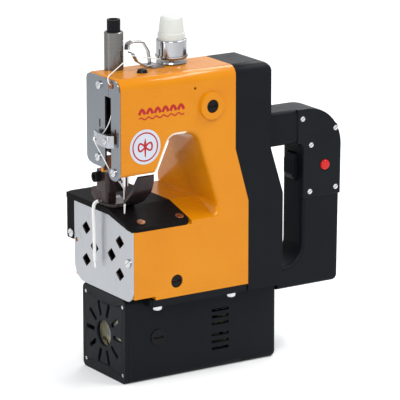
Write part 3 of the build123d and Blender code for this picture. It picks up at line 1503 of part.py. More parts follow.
# ---- Threads ----
THREAD_R = 0.45
with BuildPart() as needle_thread:
    # from the tension discs past the guide wire to the eyelet in the face strip
    span = [
        (-25.4, -12.2, 262.2),
        (-58.5, -21.2, 270.6),
        (-85.6, -30, 258.8),
        (-87.3, -33.2, 253.4),
        (-85.9, -33.6, 252),
    ]
    add(wire(span, [3, 1.2, 0.6], THREAD_R))
needle_thread.part.label = "needle_thread"
export_step(needle_thread.part, "parts/needle_thread.step")

TAIL_R = 1.6
TAIL_ROUTE = [
    (-74.6, 6.4, 146.4),
    (-77.6, 6.2, 146.0),
    (-79.3, 6.0, 142.4),
    (-79.3, 5.6, 133.0),
    (-78.4, 6.2, 119.0),
    (-78.9, 5.4, 104.0),
    (-78.2, 5.8, 91.0),
]


def route_radii(points):
    """The arc at each inner corner, as large as its two runs allow."""
    radii = []
    for before, corner, after in zip(points, points[1:], points[2:]):
        run_in = Vector(*corner) - Vector(*before)
        run_out = Vector(*after) - Vector(*corner)
        turn = radians(run_in.get_angle(run_out))
        radii.append(0.45 * min(run_in.length, run_out.length) / tan(turn / 2))
    return radii


tail_radii = route_radii(TAIL_ROUTE)
print("thread tail radii, mm:", [round(r, 1) for r in tail_radii])

with BuildPart() as thread_tail:
    with BuildLine() as tail_path:
        FilletPolyline(*TAIL_ROUTE, radius=tail_radii)
    with BuildSketch(Plane(origin=tail_path.line @ 0, z_dir=tail_path.line % 0)):
        Circle(TAIL_R)
    sweep()
print("thread tail length, mm:", round(sum(edge.length for edge in tail_path.edges()), 1))
thread_tail.part.label = "thread_tail"
export_step(thread_tail.part, "parts/thread_tail.step")
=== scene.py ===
"""Looks of the bag closer sewing machine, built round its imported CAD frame. Lengths in metres."""
import json
import math

import bmesh
import bpy
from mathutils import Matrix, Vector


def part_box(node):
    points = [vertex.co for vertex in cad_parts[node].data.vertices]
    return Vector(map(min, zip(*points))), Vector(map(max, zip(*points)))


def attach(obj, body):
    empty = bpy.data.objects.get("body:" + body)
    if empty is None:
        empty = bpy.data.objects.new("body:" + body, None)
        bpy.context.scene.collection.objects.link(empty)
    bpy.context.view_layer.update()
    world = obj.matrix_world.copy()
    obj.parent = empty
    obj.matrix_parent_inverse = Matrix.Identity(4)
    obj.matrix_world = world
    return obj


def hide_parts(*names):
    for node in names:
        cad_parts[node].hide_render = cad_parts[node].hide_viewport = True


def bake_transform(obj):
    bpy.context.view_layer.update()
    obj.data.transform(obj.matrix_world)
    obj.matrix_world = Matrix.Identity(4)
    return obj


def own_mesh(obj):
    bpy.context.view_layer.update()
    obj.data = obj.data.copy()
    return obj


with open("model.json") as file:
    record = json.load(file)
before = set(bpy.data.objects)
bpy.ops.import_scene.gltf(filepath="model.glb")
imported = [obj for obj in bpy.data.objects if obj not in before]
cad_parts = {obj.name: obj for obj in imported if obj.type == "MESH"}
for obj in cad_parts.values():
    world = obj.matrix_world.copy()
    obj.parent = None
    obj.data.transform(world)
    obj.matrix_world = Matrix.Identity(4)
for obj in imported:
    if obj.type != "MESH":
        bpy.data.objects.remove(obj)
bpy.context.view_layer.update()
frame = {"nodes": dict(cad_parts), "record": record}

MM = 0.001
NODES = frame["nodes"]

# ---- Camera: a long lens from the needle end's near side ----
CAMERA_AT = Vector((-1.3273, -2.1047, 0.7921))
CAMERA_BACK = Vector((-0.5214, -0.8146, 0.2541))
LENS_MM = 280.7
SENSOR_MM = 36.0


def make_camera():
    """The scene's camera, on its axis behind the long lens."""
    data = bpy.data.cameras.new("camera")
    data.lens = LENS_MM
    data.sensor_width = SENSOR_MM
    camera = bpy.data.objects.new("camera", data)
    camera.location = CAMERA_AT
    camera.rotation_euler = (-CAMERA_BACK).to_track_quat("-Z", "Y").to_euler()
    bpy.context.collection.objects.link(camera)
    bpy.context.scene.camera = camera


make_camera()


# ---- Small helpers ----
def mm(*values):
    """A point given in millimetres, in metres."""
    return Vector(values) * MM


def link_mesh(name, mesh, material, body, smooth=True):
    """Makes an object of a mesh that rides on a body and takes a slot's finish."""
    if smooth:
        for polygon in mesh.polygons:
            polygon.use_smooth = True
    piece = bpy.data.objects.new(name, mesh)
    mesh.materials.append(material)
    bpy.context.collection.objects.link(piece)
    if body:
        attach(piece, body)
    return piece


def spline_curve(name, points, order=3, resolution=12):
    """An open NURBS curve object with no bevel, through control points in metres."""
    data = bpy.data.curves.new(name, "CURVE")
    data.dimensions = "3D"
    data.resolution_u = resolution
    spline = data.splines.new("NURBS")
    spline.points.add(len(points) - 1)
    for point, place in zip(spline.points, points):
        point.co = (*place, 1.0)
    spline.order_u = order
    spline.use_endpoint_u = True
    curve = bpy.data.objects.new(name, data)
    bpy.context.collection.objects.link(curve)
    return curve


def curve_points(points, order=3, resolution=12):
    """Points along the smooth line of a NURBS spline."""
    curve = spline_curve("path_source", points, order, resolution)
    bpy.context.view_layer.update()
    mesh = bpy.data.meshes.new_from_object(curve)
    line = [v.co.copy() for v in mesh.vertices]
    bpy.data.objects.remove(curve)
    bpy.data.meshes.remove(mesh)
    return line


def resample(line, step):
    """The line's points spaced evenly, about a step apart."""
    lengths = [0.0]
    for a, b in zip(line, line[1:]):
        lengths.append(lengths[-1] + (b - a).length)
    count = max(2, round(lengths[-1] / step))
    out = []
    segment = 0
    for i in range(count + 1):
        target = lengths[-1] * i / count
        while segment < len(line) - 2 and lengths[segment + 1] < target:
            segment += 1
        span = lengths[segment + 1] - lengths[segment]
        t = 0.0 if span == 0 else (target - lengths[segment]) / span
        out.append(line[segment].lerp(line[segment + 1], t))
    return out


def frames_along(line):
    """Tangent, normal and binormal at each point, turning as little as possible."""
    frames = []
    normal = None
    for i, point in enumerate(line):
        ahead = line[min(i + 1, len(line) - 1)]
        behind = line[max(i - 1, 0)]
        tangent = (ahead - behind).normalized()
        if normal is None:
            helper = Vector((0, 0, 1)) if abs(tangent.z) < 0.9 else Vector((0, 1, 0))
            normal = tangent.cross(helper).normalized()
        normal = (normal - tangent * normal.dot(tangent)).normalized()
        frames.append((tangent, normal, tangent.cross(normal)))
    return frames


def add_tube(bm, line, radius, sides=8):
    """Adds a round tube with closed ends to bm; radius is a number or a function of 0..1."""
    frames = frames_along(line)
    rings = []
    for i, (point, (_, normal, binormal)) in enumerate(zip(line, frames)):
        r = radius(i / (len(line) - 1)) if callable(radius) else radius
        ring = []
        for k in range(sides):
            angle = 2 * math.pi * k / sides
            offset = normal * math.cos(angle) + binormal * math.sin(angle)
            ring.append(bm.verts.new(point + offset * r))
        rings.append(ring)
    for ring, following in zip(rings, rings[1:]):
        for k in range(sides):
            n = (k + 1) % sides
            bm.faces.new((ring[k], ring[n], following[n], following[k]))
    bm.faces.new(list(reversed(rings[0])))
    bm.faces.new(rings[-1])


def mesh_from(bm, name):
    """Turns bm into a mesh with its faces outward, and frees bm."""
    bmesh.ops.recalc_face_normals(bm, faces=bm.faces)
    mesh = bpy.data.meshes.new(name)
    bm.to_mesh(mesh)
    bm.free()
    return mesh


def twisted_strands(bm, line, strand_r, spread, turn_length, strands=2, sides=7):
    """Adds strands twisted round a line, like a plied thread."""
    frames = frames_along(line)
    travelled = 0.0
    offsets = [[] for _ in range(strands)]
    for i, (point, (_, normal, binormal)) in enumerate(zip(line, frames)):
        if i:
            travelled += (point - line[i - 1]).length
        for s in range(strands):
            angle = 2 * math.pi * (travelled / turn_length + s / strands)
            offset = normal * math.cos(angle) + binormal * math.sin(angle)
            offsets[s].append(point + offset * spread)
    for path in offsets:
        add_tube(bm, path, strand_r, sides)


# ---- Materials ----
class Nodes:
    """A thin wrapper that adds and links shader nodes."""

    def __init__(self, name):
        self.material = bpy.data.materials.new(name)
        self.material.use_nodes = True
        self.tree = self.material.node_tree
        self.shader = self.tree.nodes["Principled BSDF"]
        coordinates = self.tree.nodes.new("ShaderNodeTexCoord")
        self.place = coordinates.outputs["Object"]

    def add(self, kind, **values):
        node = self.tree.nodes.new(kind)
        for key, value in values.items():
            setattr(node, key, value)
        return node

    def link(self, out, into):
        self.tree.links.new(out, into)

    def noise(self, scale, detail=4.0, rough=0.55, stretch=(1, 1, 1), distortion=0.0):
        """A noise texture; scale is in cells per metre."""
        mapping = self.add("ShaderNodeMapping")
        mapping.inputs["Scale"].default_value = stretch
        self.link(self.place, mapping.inputs["Vector"])
        noise = self.add("ShaderNodeTexNoise")
        noise.inputs["Scale"].default_value = scale
        noise.inputs["Detail"].default_value = detail
        noise.inputs["Roughness"].default_value = rough
        noise.inputs["Distortion"].default_value = distortion
        self.link(mapping.outputs["Vector"], noise.inputs["Vector"])
        return noise.outputs["Fac"]

    def ramp(self, value, stops):
        """A colour ramp; stops are (place, grey or rgb)."""
        ramp = self.add("ShaderNodeValToRGB")
        elements = ramp.color_ramp.elements
        while len(elements) < len(stops):
            elements.new(0.5)
        for element, (position, colour) in zip(elements, stops):
            rgb = (colour,) * 3 if isinstance(colour, (int, float)) else colour
            element.position = position
            element.color = (*rgb, 1.0)
        self.link(value, ramp.inputs["Fac"])
        return ramp.outputs["Color"]

    def mix(self, fac, a, b):
        """Mixes two colours, each a socket or an rgb."""
        mix = self.add("ShaderNodeMix", data_type="RGBA")
        for value, into in ((fac, mix.inputs[0]), (a, mix.inputs[6]), (b, mix.inputs[7])):
            if isinstance(value, bpy.types.NodeSocket):
                self.link(value, into)
            elif isinstance(value, (int, float)):
                into.default_value = value
            else:
                into.default_value = (*value, 1.0)
        return mix.outputs[2]

    def colour(self, socket):
        self.link(socket, self.shader.inputs["Base Color"])

    def roughness(self, value, low, high):
        """Roughness between low and high, by a 0..1 socket."""
        spread = self.add("ShaderNodeMapRange")
        spread.inputs["To Min"].default_value = low
        spread.inputs["To Max"].default_value = high
        self.link(value, spread.inputs["Value"])
        self.link(spread.outputs["Result"], self.shader.inputs["Roughness"])

    def bump(self, height, strength, distance):
        """A bump from a height socket; distance in metres. Calls stack."""
        bump = self.add("ShaderNodeBump")
        bump.inputs["Strength"].default_value = strength
        bump.inputs["Distance"].default_value = distance
        self.link(height, bump.inputs["Height"])
        normal = self.shader.inputs["Normal"]
        if normal.is_linked:
            self.link(normal.links[0].from_socket, bump.inputs["Normal"])
        self.link(bump.outputs["Normal"], normal)

    def inside(self, low, high, soft):
        """1 inside a box given by two corners in millimetres, fading over soft millimetres."""
        centre = (mm(*low) + mm(*high)) / 2
        half = (mm(*high) - mm(*low)) / 2
        offset = self.add("ShaderNodeVectorMath", operation="SUBTRACT")
        offset.inputs[1].default_value = centre
        self.link(self.place, offset.inputs[0])
        size = self.add("ShaderNodeVectorMath", operation="ABSOLUTE")
        self.link(offset.outputs[0], size.inputs[0])
        room = self.add("ShaderNodeVectorMath", operation="SUBTRACT")
        room.inputs[0].default_value = half
        self.link(size.outputs[0], room.inputs[1])
        axes = self.add("ShaderNodeSeparateXYZ")
        self.link(room.outputs[0], axes.inputs[0])
        first = self.add("ShaderNodeMath", operation="MINIMUM")
        self.link(axes.outputs[0], first.inputs[0])
        self.link(axes.outputs[1], first.inputs[1])
        least = self.add("ShaderNodeMath", operation="MINIMUM")
        self.link(first.outputs[0], least.inputs[0])
        self.link(axes.outputs[2], least.inputs[1])
        fade = self.add("ShaderNodeMapRange")
        fade.inputs["From Min"].default_value = 0.0
        fade.inputs["From Max"].default_value = soft * MM
        self.link(least.outputs[0], fade.inputs["Value"])
        return fade.outputs["Result"]

    def set(self, **values):
        for key, value in values.items():
            self.shader.inputs[key.replace("_", " ")].default_value = value
        return self


# Hollow regions of the casting darkened as painted shade, and the throat's near edge
# lightened as a painted highlight, as pairs of corners in millimetres
PAINTED_SHADE_REGIONS = [
    ((-83.2, -42.4, 178.4), (-50.5, 4.0, 253.1)),
    ((-71.6, -44.0, 78.0), (24.0, 44.0, 130.0)),
]
THROAT_EDGE = ((-52.0, -45.85, 149.0), (-22.0, -41.5, 209.0))
# the dark colour of the painted shade inside the casting's hollows
HOLLOW_PAINTED_SHADE = (0.045, 0.018, 0.012)
# the pale colour of the painted highlight on the throat's edge
PAINTED_THROAT_HIGHLIGHT = (0.86, 0.80, 0.70)
DUST = (0.018, 0.020, 0.023)


def enamel(name, colour, deep):
    """Glossy sprayed enamel with a faint orange-peel skin, painted shade in the hollows and a
    painted highlight on the throat's edge.
    """
    n = Nodes(name)
    patches = n.noise(14, 3)
    tone = n.mix(n.ramp(patches, [(0.35, 0.0), (0.7, 1.0)]), colour, deep)
    specks = n.ramp(n.noise(900, 2, 0.7), [(0.71, 0.0), (0.76, 1.0)])
    paint = n.mix(specks, tone, [c * 0.72 for c in deep])
    # the throat's edge painted pale as a highlight
    wear_and_painted_highlight = n.inside(*THROAT_EDGE, 0.5)
    paint = n.mix(wear_and_painted_highlight, paint, PAINTED_THROAT_HIGHLIGHT)
    # the casting's hollows painted dark as shade
    for low, high in PAINTED_SHADE_REGIONS:
        paint = n.mix(n.inside(low, high, 0.4), paint, HOLLOW_PAINTED_SHADE)
    n.colour(paint)
    n.roughness(n.noise(60, 5, 0.6), 0.2, 0.34)
    n.bump(n.noise(420, 2, 0.5), 0.10, 0.0004)
    n.bump(n.noise(36, 2, 0.4), 0.08, 0.0012)
    return n.set(Coat_Weight=0.26, Coat_Roughness=0.05, Specular_IOR_Level=0.1).material


def moulded(name, colour, rough=(0.42, 0.58), grain=1700, grain_depth=0.00009):
    """Moulded plastic: fine spark-eroded grain, faint dust and slow tone changes."""
    n = Nodes(name)
    tone = n.mix(n.noise(22, 4), colour, [c * 1.5 + 0.002 for c in colour])
    dusty = n.ramp(n.noise(75, 7, 0.72, distortion=0.6), [(0.60, 0.0), (0.9, 0.22)])
    n.colour(n.mix(dusty, tone, DUST))
    n.roughness(n.noise(120, 5, 0.6), *rough)
    n.bump(n.noise(grain, 3, 0.6), 0.45, grain_depth)
    return n.set(Specular_IOR_Level=0.1).material


def brushed(name, colour, stretch, rough=(0.24, 0.4)):
    """Rolled or brushed steel with fine lines along one direction."""
    n = Nodes(name)
    lines = n.noise(900, 5, 0.7, stretch=stretch)
    cloud = n.noise(26, 4, 0.6)
    tone = n.mix(lines, [c * 0.78 for c in colour], colour)
    tone = n.mix(n.ramp(cloud, [(0.4, 0.0), (0.75, 0.35)]), tone, [c * 0.82 for c in colour])
    smears = n.noise(70, 6, 0.72, stretch=(1, 1, 0.4), distortion=1.4)
    n.colour(n.mix(n.ramp(smears, [(0.60, 0.0), (0.74, 0.6)]), tone, [c * 0.5 for c in colour]))
    n.roughness(lines, *rough)
    n.bump(lines, 0.22, 0.00006)
    return n.set(Metallic=1.0).material


def polished(name, colour, rough=(0.07, 0.17)):
    """Chrome or ground bright metal, with faint smears."""
    n = Nodes(name)
    smear = n.noise(140, 6, 0.65, stretch=(1, 1, 0.35), distortion=0.4)
    n.colour(n.mix(smear, [c * 0.88 for c in colour], colour))
    n.roughness(smear, *rough)
    n.bump(n.noise(1200, 2), 0.06, 0.00004)
    return n.set(Metallic=1.0).material


def cast_metal(name, colour, metallic=0.55, rough=(0.45, 0.65)):
    """Bead-blasted or cast metal with a sandy surface."""
    n = Nodes(name)
    sand = n.noise(1500, 4, 0.7)
    n.colour(n.mix(sand, [c * 0.75 for c in colour], colour))
    n.roughness(n.noise(90, 4), *rough)
    n.bump(sand, 0.5, 0.00012)
    return n.set(Metallic=metallic).material


def oxide(name, colour, warm, metallic=0.65, rough=(0.26, 0.46), shine=0.5):
    """Dark heat-treated steel, satin, browner in worn patches."""
    n = Nodes(name)
    wear_and_painted_highlight = n.ramp(n.noise(70, 6, 0.65, distortion=0.5), [(0.42, 0.0), (0.72, 1.0)])
    n.colour(n.mix(wear_and_painted_highlight, colour, warm))
    n.roughness(n.noise(160, 5), *rough)
    n.bump(n.noise(800, 3, 0.6), 0.2, 0.00006)
    return n.set(Metallic=metallic, Specular_IOR_Level=shine).material


def cotton(name, colour):
    """Spun sewing thread: fine twisted fibres, soft and matt."""
    n = Nodes(name)
    fibre = n.noise(4200, 4, 0.7, stretch=(1, 1, 0.3))
    n.colour(n.mix(fibre, [c * 0.72 for c in colour], colour))
    n.roughness(fibre, 0.75, 0.95)
    n.bump(fibre, 0.5, 0.00012)
    return n.set(Sheen_Weight=0.35, Sheen_Roughness=0.5, Specular_IOR_Level=0.2).material


def glossy_plastic(name, colour, rough=(0.16, 0.28)):
    """Smooth plastic, vinyl or ink under a thin clear coat."""
    n = Nodes(name)
    n.colour(n.mix(n.noise(60, 3), [c * 0.86 for c in colour], colour))
    n.roughness(n.noise(200, 4), *rough)
    n.bump(n.noise(700, 2), 0.1, 0.00006)
    return n.set(Coat_Weight=0.1, Coat_Roughness=0.1, Specular_IOR_Level=0.25).material


def rubber(name, colour):
    """Matt rubber or pressed carbon with a coarse skin."""
    n = Nodes(name)
    n.colour(n.mix(n.noise(300, 5), colour, [c * 2.2 for c in colour]))
    n.roughness(n.noise(200, 4), 0.7, 0.9)
    n.bump(n.noise(1400, 3), 0.4, 0.0001)
    return n.set(Specular_IOR_Level=0.1).material


def laminated(name, colour):
    """Stacked motor sheets: fine dark lines across the shaft."""
    n = Nodes(name)
    wave = n.add("ShaderNodeTexWave", bands_direction="X")
    wave.inputs["Scale"].default_value = 320
    n.link(n.place, wave.inputs["Vector"])
    n.colour(n.mix(wave.outputs["Fac"], [c * 0.45 for c in colour], colour))
    n.roughness(n.noise(150, 4), 0.4, 0.6)
    n.bump(wave.outputs["Fac"], 0.3, 0.0001)
    return n.set(Metallic=0.8).material


ORANGE = (0.56, 0.200, 0.002)
ORANGE_DEEP = (0.52, 0.174, 0.001)
MAT = {
    "body_paint": enamel("orange_enamel", ORANGE, ORANGE_DEEP),
    "black_plastic": moulded("black_moulding", (0.0028, 0.0038, 0.0055)),
    "black_steel": oxide(
        "black_plate_steel", (0.006, 0.0055, 0.006), (0.008, 0.0065, 0.007),
        metallic=0.0, rough=(0.5, 0.66), shine=0.03,
    ),
    "foot_steel": oxide("brown_oxide_steel", (0.022, 0.017, 0.018), (0.052, 0.028, 0.026)),
    "plate_steel": brushed("brushed_sheet", (0.47, 0.485, 0.51), (1, 1, 0.04)),
    "steel": brushed("ground_steel", (0.34, 0.335, 0.34), (1, 1, 0.05)),
    "chrome": polished("polished_chrome", (0.62, 0.62, 0.64)),
    "bronze": cast_metal("sintered_bronze", (0.44, 0.27, 0.12), 0.9),
    "copper": cast_metal("worn_copper", (0.36, 0.15, 0.07), 0.9, (0.3, 0.5)),
    "knob_white": glossy_plastic("white_knob_plastic", (0.56, 0.57, 0.54), (0.28, 0.42)),
    "cream_metal": cast_metal("cream_end_casting", (0.60, 0.55, 0.38), 0.25),
    "laminations": laminated("stator_sheets", (0.32, 0.29, 0.26)),
    "belt_rubber": rubber("belt_rubber", (0.012, 0.012, 0.012)),
    "red_plastic": glossy_plastic("red_button_plastic", (0.5, 0.008, 0.006)),
    "carbon": rubber("brush_carbon", (0.02, 0.02, 0.022)),
    "cotton": cotton("white_thread", (0.86, 0.86, 0.84)),
}
BADGE = glossy_plastic("badge_vinyl", (0.50, 0.53, 0.60), (0.3, 0.4))
RED_INK = glossy_plastic("red_ink", (0.36, 0.006, 0.008), (0.5, 0.6))
SPRING_SHEET = polished("spring_sheet", (0.36, 0.355, 0.36), (0.14, 0.26))
CUP_CHROME = polished("cup_chrome", (0.46, 0.46, 0.48), (0.08, 0.2))
TURNED_TUBE = brushed("turned_tube", (0.19, 0.185, 0.18), (0.05, 0.05, 1), (0.2, 0.34))
HEAD_SHEET = brushed("head_sheet", (0.26, 0.28, 0.31), (1, 1, 0.04), (0.2, 0.36))
GLOSS_BLACK = moulded("smooth_black_cap", (0.004, 0.004, 0.005), (0.22, 0.36), 900, 0.00003)
COVER_BLACK = moulded("switch_cover_moulding", (0.0036, 0.0048, 0.0066), (0.36, 0.5), 2300, 0.00007)

SLOT_OF = {s["node"]: s["material_slot"] for s in frame["record"]["subparts"]}
PLATE_SCREWS_ABOVE = 120 * MM


def dress_frame():
    """Gives each CAD node its slot's material, or its own where the slot's is too general."""
    for name, node in NODES.items():
        node.data.materials.clear()
        node.data.materials.append(MAT[SLOT_OF[name]])
    for name in ("access_plugs", "brush_caps", "presser_adjuster"):
        NODES[name].data.materials[0] = GLOSS_BLACK
    for name in ("face_plate", "face_strip"):
        NODES[name].data.materials[0] = HEAD_SHEET
    NODES["switch_cover"].data.materials[0] = COVER_BLACK
    NODES["thread_guide"].data.materials[0] = SPRING_SHEET
    NODES["tension_cup"].data.materials[0] = CUP_CHROME
    NODES["tension_discs"].data.materials[0] = SPRING_SHEET
    NODES["presser_tube"].data.materials[0] = TURNED_TUBE
    # the screws are bright except the two that hold the needle plate down
    screws = NODES["housing_screws"].data
    screws.materials[0] = MAT["chrome"]
    screws.materials.append(MAT["copper"])
    for face in screws.polygons:
        if face.center.z > PLATE_SCREWS_ABOVE and face.center.x < 0:
            face.material_index = 1


dress_frame()


def soften_edges():
    """Rounds the hard edges of the castings and mouldings, as paint and moulding do."""
    widths = {
        "machine_body": 0.7, "rear_cover": 0.7, "motor_housing": 0.6, "motor_rear_cap": 0.5,
        "motor_grille": 0.35, "handle_body": 0.5, "switch_cover": 0.25, "needle_plate": 0.35,
        "looper_cover": 0.2, "face_plate": 0.2, "face_strip": 0.2, "presser_foot": 0.35,
        "needle_plate_bracket": 0.35, "take_up": 0.2, "trigger": 0.3, "tension_knob": 0.15,
    }
    for name, width in widths.items():
        node = NODES[name]
        weld = node.modifiers.new("weld", "WELD")
        weld.merge_threshold = 0.000002
        bevel = node.modifiers.new("edge", "BEVEL")
        bevel.width = width * MM
        bevel.segments = 2
        bevel.limit_method = "ANGLE"
        bevel.angle_limit = math.radians(40)
        bevel.use_clamp_overlap = True
        bevel.harden_normals = True


soften_edges()

# ---- The thread chain that hangs at the needle end ----
# The same points as the CAD route, in millimetres
TAIL_ROUTE = [
    (-74.6, 6.4, 146.4),
    (-77.6, 6.2, 146.0),
    (-79.3, 6.0, 142.4),
    (-79.3, 5.6, 133.0),
    (-78.4, 6.2, 119.0),
    (-78.9, 5.4, 104.0),
    (-78.2, 5.8, 91.0),
]
# Shares of the length: where the twisted chain ends, and where the loose strands begin
CHAIN_END = 0.9
FRAY_START = 0.88


def make_thread_tail():
    """Three strands twisted into a chain, ending in two loose ones."""
    line = curve_points([mm(*p) for p in TAIL_ROUTE], resolution=16)
    path = resample(line, 0.4 * MM)
    bm = bmesh.new()
    chain = resample(path[: round(len(path) * CHAIN_END)], 0.2 * MM)
    twisted_strands(bm, chain, 0.56 * MM, 0.98 * MM, 5.0 * MM, strands=3, sides=8)
    tail = path[round(len(path) * FRAY_START):]
    for side in (-1, 1):
        strand = []
        for i, point in enumerate(tail):
            t = i / (len(tail) - 1)
            spread = 0.5 + 0.75 * t * t
            strand.append(point + Vector((0.1 * side, 1.0 * side, 0)) * spread * MM)
        add_tube(bm, resample(strand, 0.3 * MM), lambda t: (0.55 - 0.25 * t) * MM, 7)
    mesh = mesh_from(bm, "thread_tail_chain")
    piece = link_mesh("thread_tail_chain", mesh, MAT["cotton"], "frame")
    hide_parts("thread_tail")


make_thread_tail()


# ---- Needle thread: over the head, through the take-up, down to the needle ----
THREAD_TURN = 2.2 * MM


def thread_piece(name, points, body):
    """A length of two-ply thread through points in millimetres, on the given body, or on none when
    body is None.
    """
    line = resample(curve_points([mm(*p) for p in points], resolution=10), 0.35 * MM)
    bm = bmesh.new()
    twisted_strands(bm, line, 0.27 * MM, 0.2 * MM, THREAD_TURN, strands=2, sides=6)
    return link_mesh(name, mesh_from(bm, name), MAT["cotton"], body)


upper_thread = thread_piece("needle_thread_upper", [
    (-25.4, -12.2, 262.2), (-42.0, -16.6, 266.2), (-57.0, -20.7, 270.4), (-60.5, -21.8, 270.0),
    (-72.0, -25.6, 264.6), (-84.6, -29.7, 259.2), (-87.0, -31.0, 257.4), (-87.3, -32.9, 253.6),
    (-85.9, -33.6, 252.0),
], "frame")
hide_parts("needle_thread")

middle_thread = thread_piece("needle_thread_middle", [
    (-85.6, -33.6, 252.0), (-82.6, -33.2, 249.0), (-82.2, -31.5, 238.0), (-83.2, -29.0, 222.0),
    (-86.4, -23.0, 210.6), (-89.0, -17.0, 206.8), (-90.0, -14.2, 206.0),
], None)
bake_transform(middle_thread)

thread_piece("needle_thread_lower", [
    (-90.4, -14.2, 206.0), (-90.9, -16.0, 203.2), (-88.4, -25.2, 192.0), (-87.2, -29.0, 186.4),
    (-84.6, -28.6, 181.8), (-74.0, -24.4, 170.6), (-67.2, -21.9, 163.4), (-66.7, -21.6, 158.0),
    (-66.5, -21.4, 146.0), (-66.3, -21.2, 134.6),
], "needle_bar")


def make_take_up_wrap():
    """Three loose turns of the needle thread round the take-up's lip."""
    turns, steps, radius = 3, 89, 1.5
    lip_x, lip_y, lip_z = -90.4, -14.6, 205.2
    line = []
    for i in range(steps + 1):
        angle = 2 * math.pi * turns * i / steps
        line.append(mm(lip_x + 0.8 * math.sin(angle), lip_y - 2.4 * i / steps,
                       lip_z + radius * math.cos(angle)))
    bm = bmesh.new()
    twisted_strands(bm, line, 0.25 * MM, 0.18 * MM, THREAD_TURN, strands=2, sides=6)
    link_mesh("take_up_wrap", mesh_from(bm, "take_up_wrap"), MAT["cotton"], "needle_bar")


make_take_up_wrap()


def make_thread_guard():
    """A thin copper sheet in the head behind the needle bar, just clear of the web over it."""
    near_y, far_y = -14.6, -14.1
    outline = [(-79.2, 178.0), (-74.0, 177.4), (-61.5, 177.4)]
    outline += [(-60.5, 178.4), (-60.5, 189.8), (-79.2, 189.8)]
    bm = bmesh.new()
    near = [bm.verts.new(mm(x, near_y, z)) for x, z in outline]
    far = [bm.verts.new(mm(x, far_y, z)) for x, z in outline]
    bm.faces.new(near)
    bm.faces.new(list(reversed(far)))
    for k in range(len(outline)):
        n = (k + 1) % len(outline)
        bm.faces.new((near[k], far[k], far[n], near[n]))
    bmesh.ops.bevel(bm, geom=list(bm.edges), offset=0.12 * MM, segments=2, affect="EDGES")
    mesh = mesh_from(bm, "thread_guard")
    link_mesh("thread_guard", mesh, MAT["copper"], "frame", smooth=False)


make_thread_guard()


def make_presser_spring():
    """The coil over the presser bar: its top end stays put as the foot lifts."""
    low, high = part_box("presser_spring")
    centre = (low + high) / 2
    wire_r = 0.5 * MM
    coil_r = (high.x - low.x) / 2 - wire_r
    span = high.z - low.z - 2 * wire_r
    turns, steps = 6, 240
    line = []
    for i in range(steps + 1):
        angle = 2 * math.pi * turns * i / steps
        at = Vector((math.cos(angle) * coil_r, math.sin(angle) * coil_r, wire_r + span * i / steps))
        line.append(Vector((centre.x, centre.y, low.z)) + at)
    bm = bmesh.new()
    add_tube(bm, line, wire_r, 8)
    piece = link_mesh("presser_coil", mesh_from(bm, "presser_coil"), MAT["steel"], "frame")
    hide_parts("presser_spring")
    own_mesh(piece)


make_presser_spring()


def make_windings():
    """Copper wire bundles at the stator's needle end, bowed between the poles."""
    low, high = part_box("motor_stator")
    centre_y, centre_z = (low.y + high.y) / 2, (low.z + high.z) / 2
    bm = bmesh.new()
    for side in (-1, 1):
        for strand in range(7):
            reach = (22.0 + 0.75 * strand) * MM
            line = []
            for i in range(29):
                angle = math.radians(-62 + 124 * i / 28)
                bow = (1.4 + 0.55 * (strand % 3)) * MM * math.cos(angle * 1.3)
                y = centre_y + side * reach * math.cos(angle)
                z = centre_z + reach * math.sin(angle)
                line.append(Vector((low.x - 0.8 * MM - bow, y, z)))
            add_tube(bm, line, 0.42 * MM, 7)
    link_mesh("stator_windings", mesh_from(bm, "stator_windings"), MAT["copper"], "frame")


make_windings()


# ---- Printed badge and stitch mark on the near side, in millimetres ----
NEAR_SKIN_Y = -46.0
VINYL_Y = NEAR_SKIN_Y - 0.14
PRINT_BACK_Y = NEAR_SKIN_Y - 0.13
PRINT_FACE_Y = NEAR_SKIN_Y - 0.22
BADGE_CENTRE = (-61.5, 201.0)
BADGE_RADIUS = 14.3


def disc_mesh(bm, centre, radius, y_low, y_high, sides=64, inner=0.0):
    """A flat disc or ring facing the near side, between two y values, in millimetres."""
    rings = []
    for r in ([inner, radius] if inner else [radius]):
        for y in (y_low, y_high):
            ring = []
            for k in range(sides):
                a = 2 * math.pi * k / sides
                place = mm(centre[0] + r * math.cos(a), y, centre[1] + r * math.sin(a))
                ring.append(bm.verts.new(place))
            rings.append(ring)
    for k in range(sides):
        n = (k + 1) % sides
        if inner:
            low_in, high_in, low_out, high_out = rings
            bm.faces.new((low_out[k], low_out[n], high_out[n], high_out[k]))
            bm.faces.new((low_in[k], high_in[k], high_in[n], low_in[n]))
            bm.faces.new((high_in[k], high_out[k], high_out[n], high_in[n]))
            bm.faces.new((low_in[k], low_in[n], low_out[n], low_out[k]))
        else:
            low, high = rings
            bm.faces.new((low[k], low[n], high[n], high[k]))
    if not inner:
        bm.faces.new(rings[0])
        bm.faces.new(list(reversed(rings[1])))


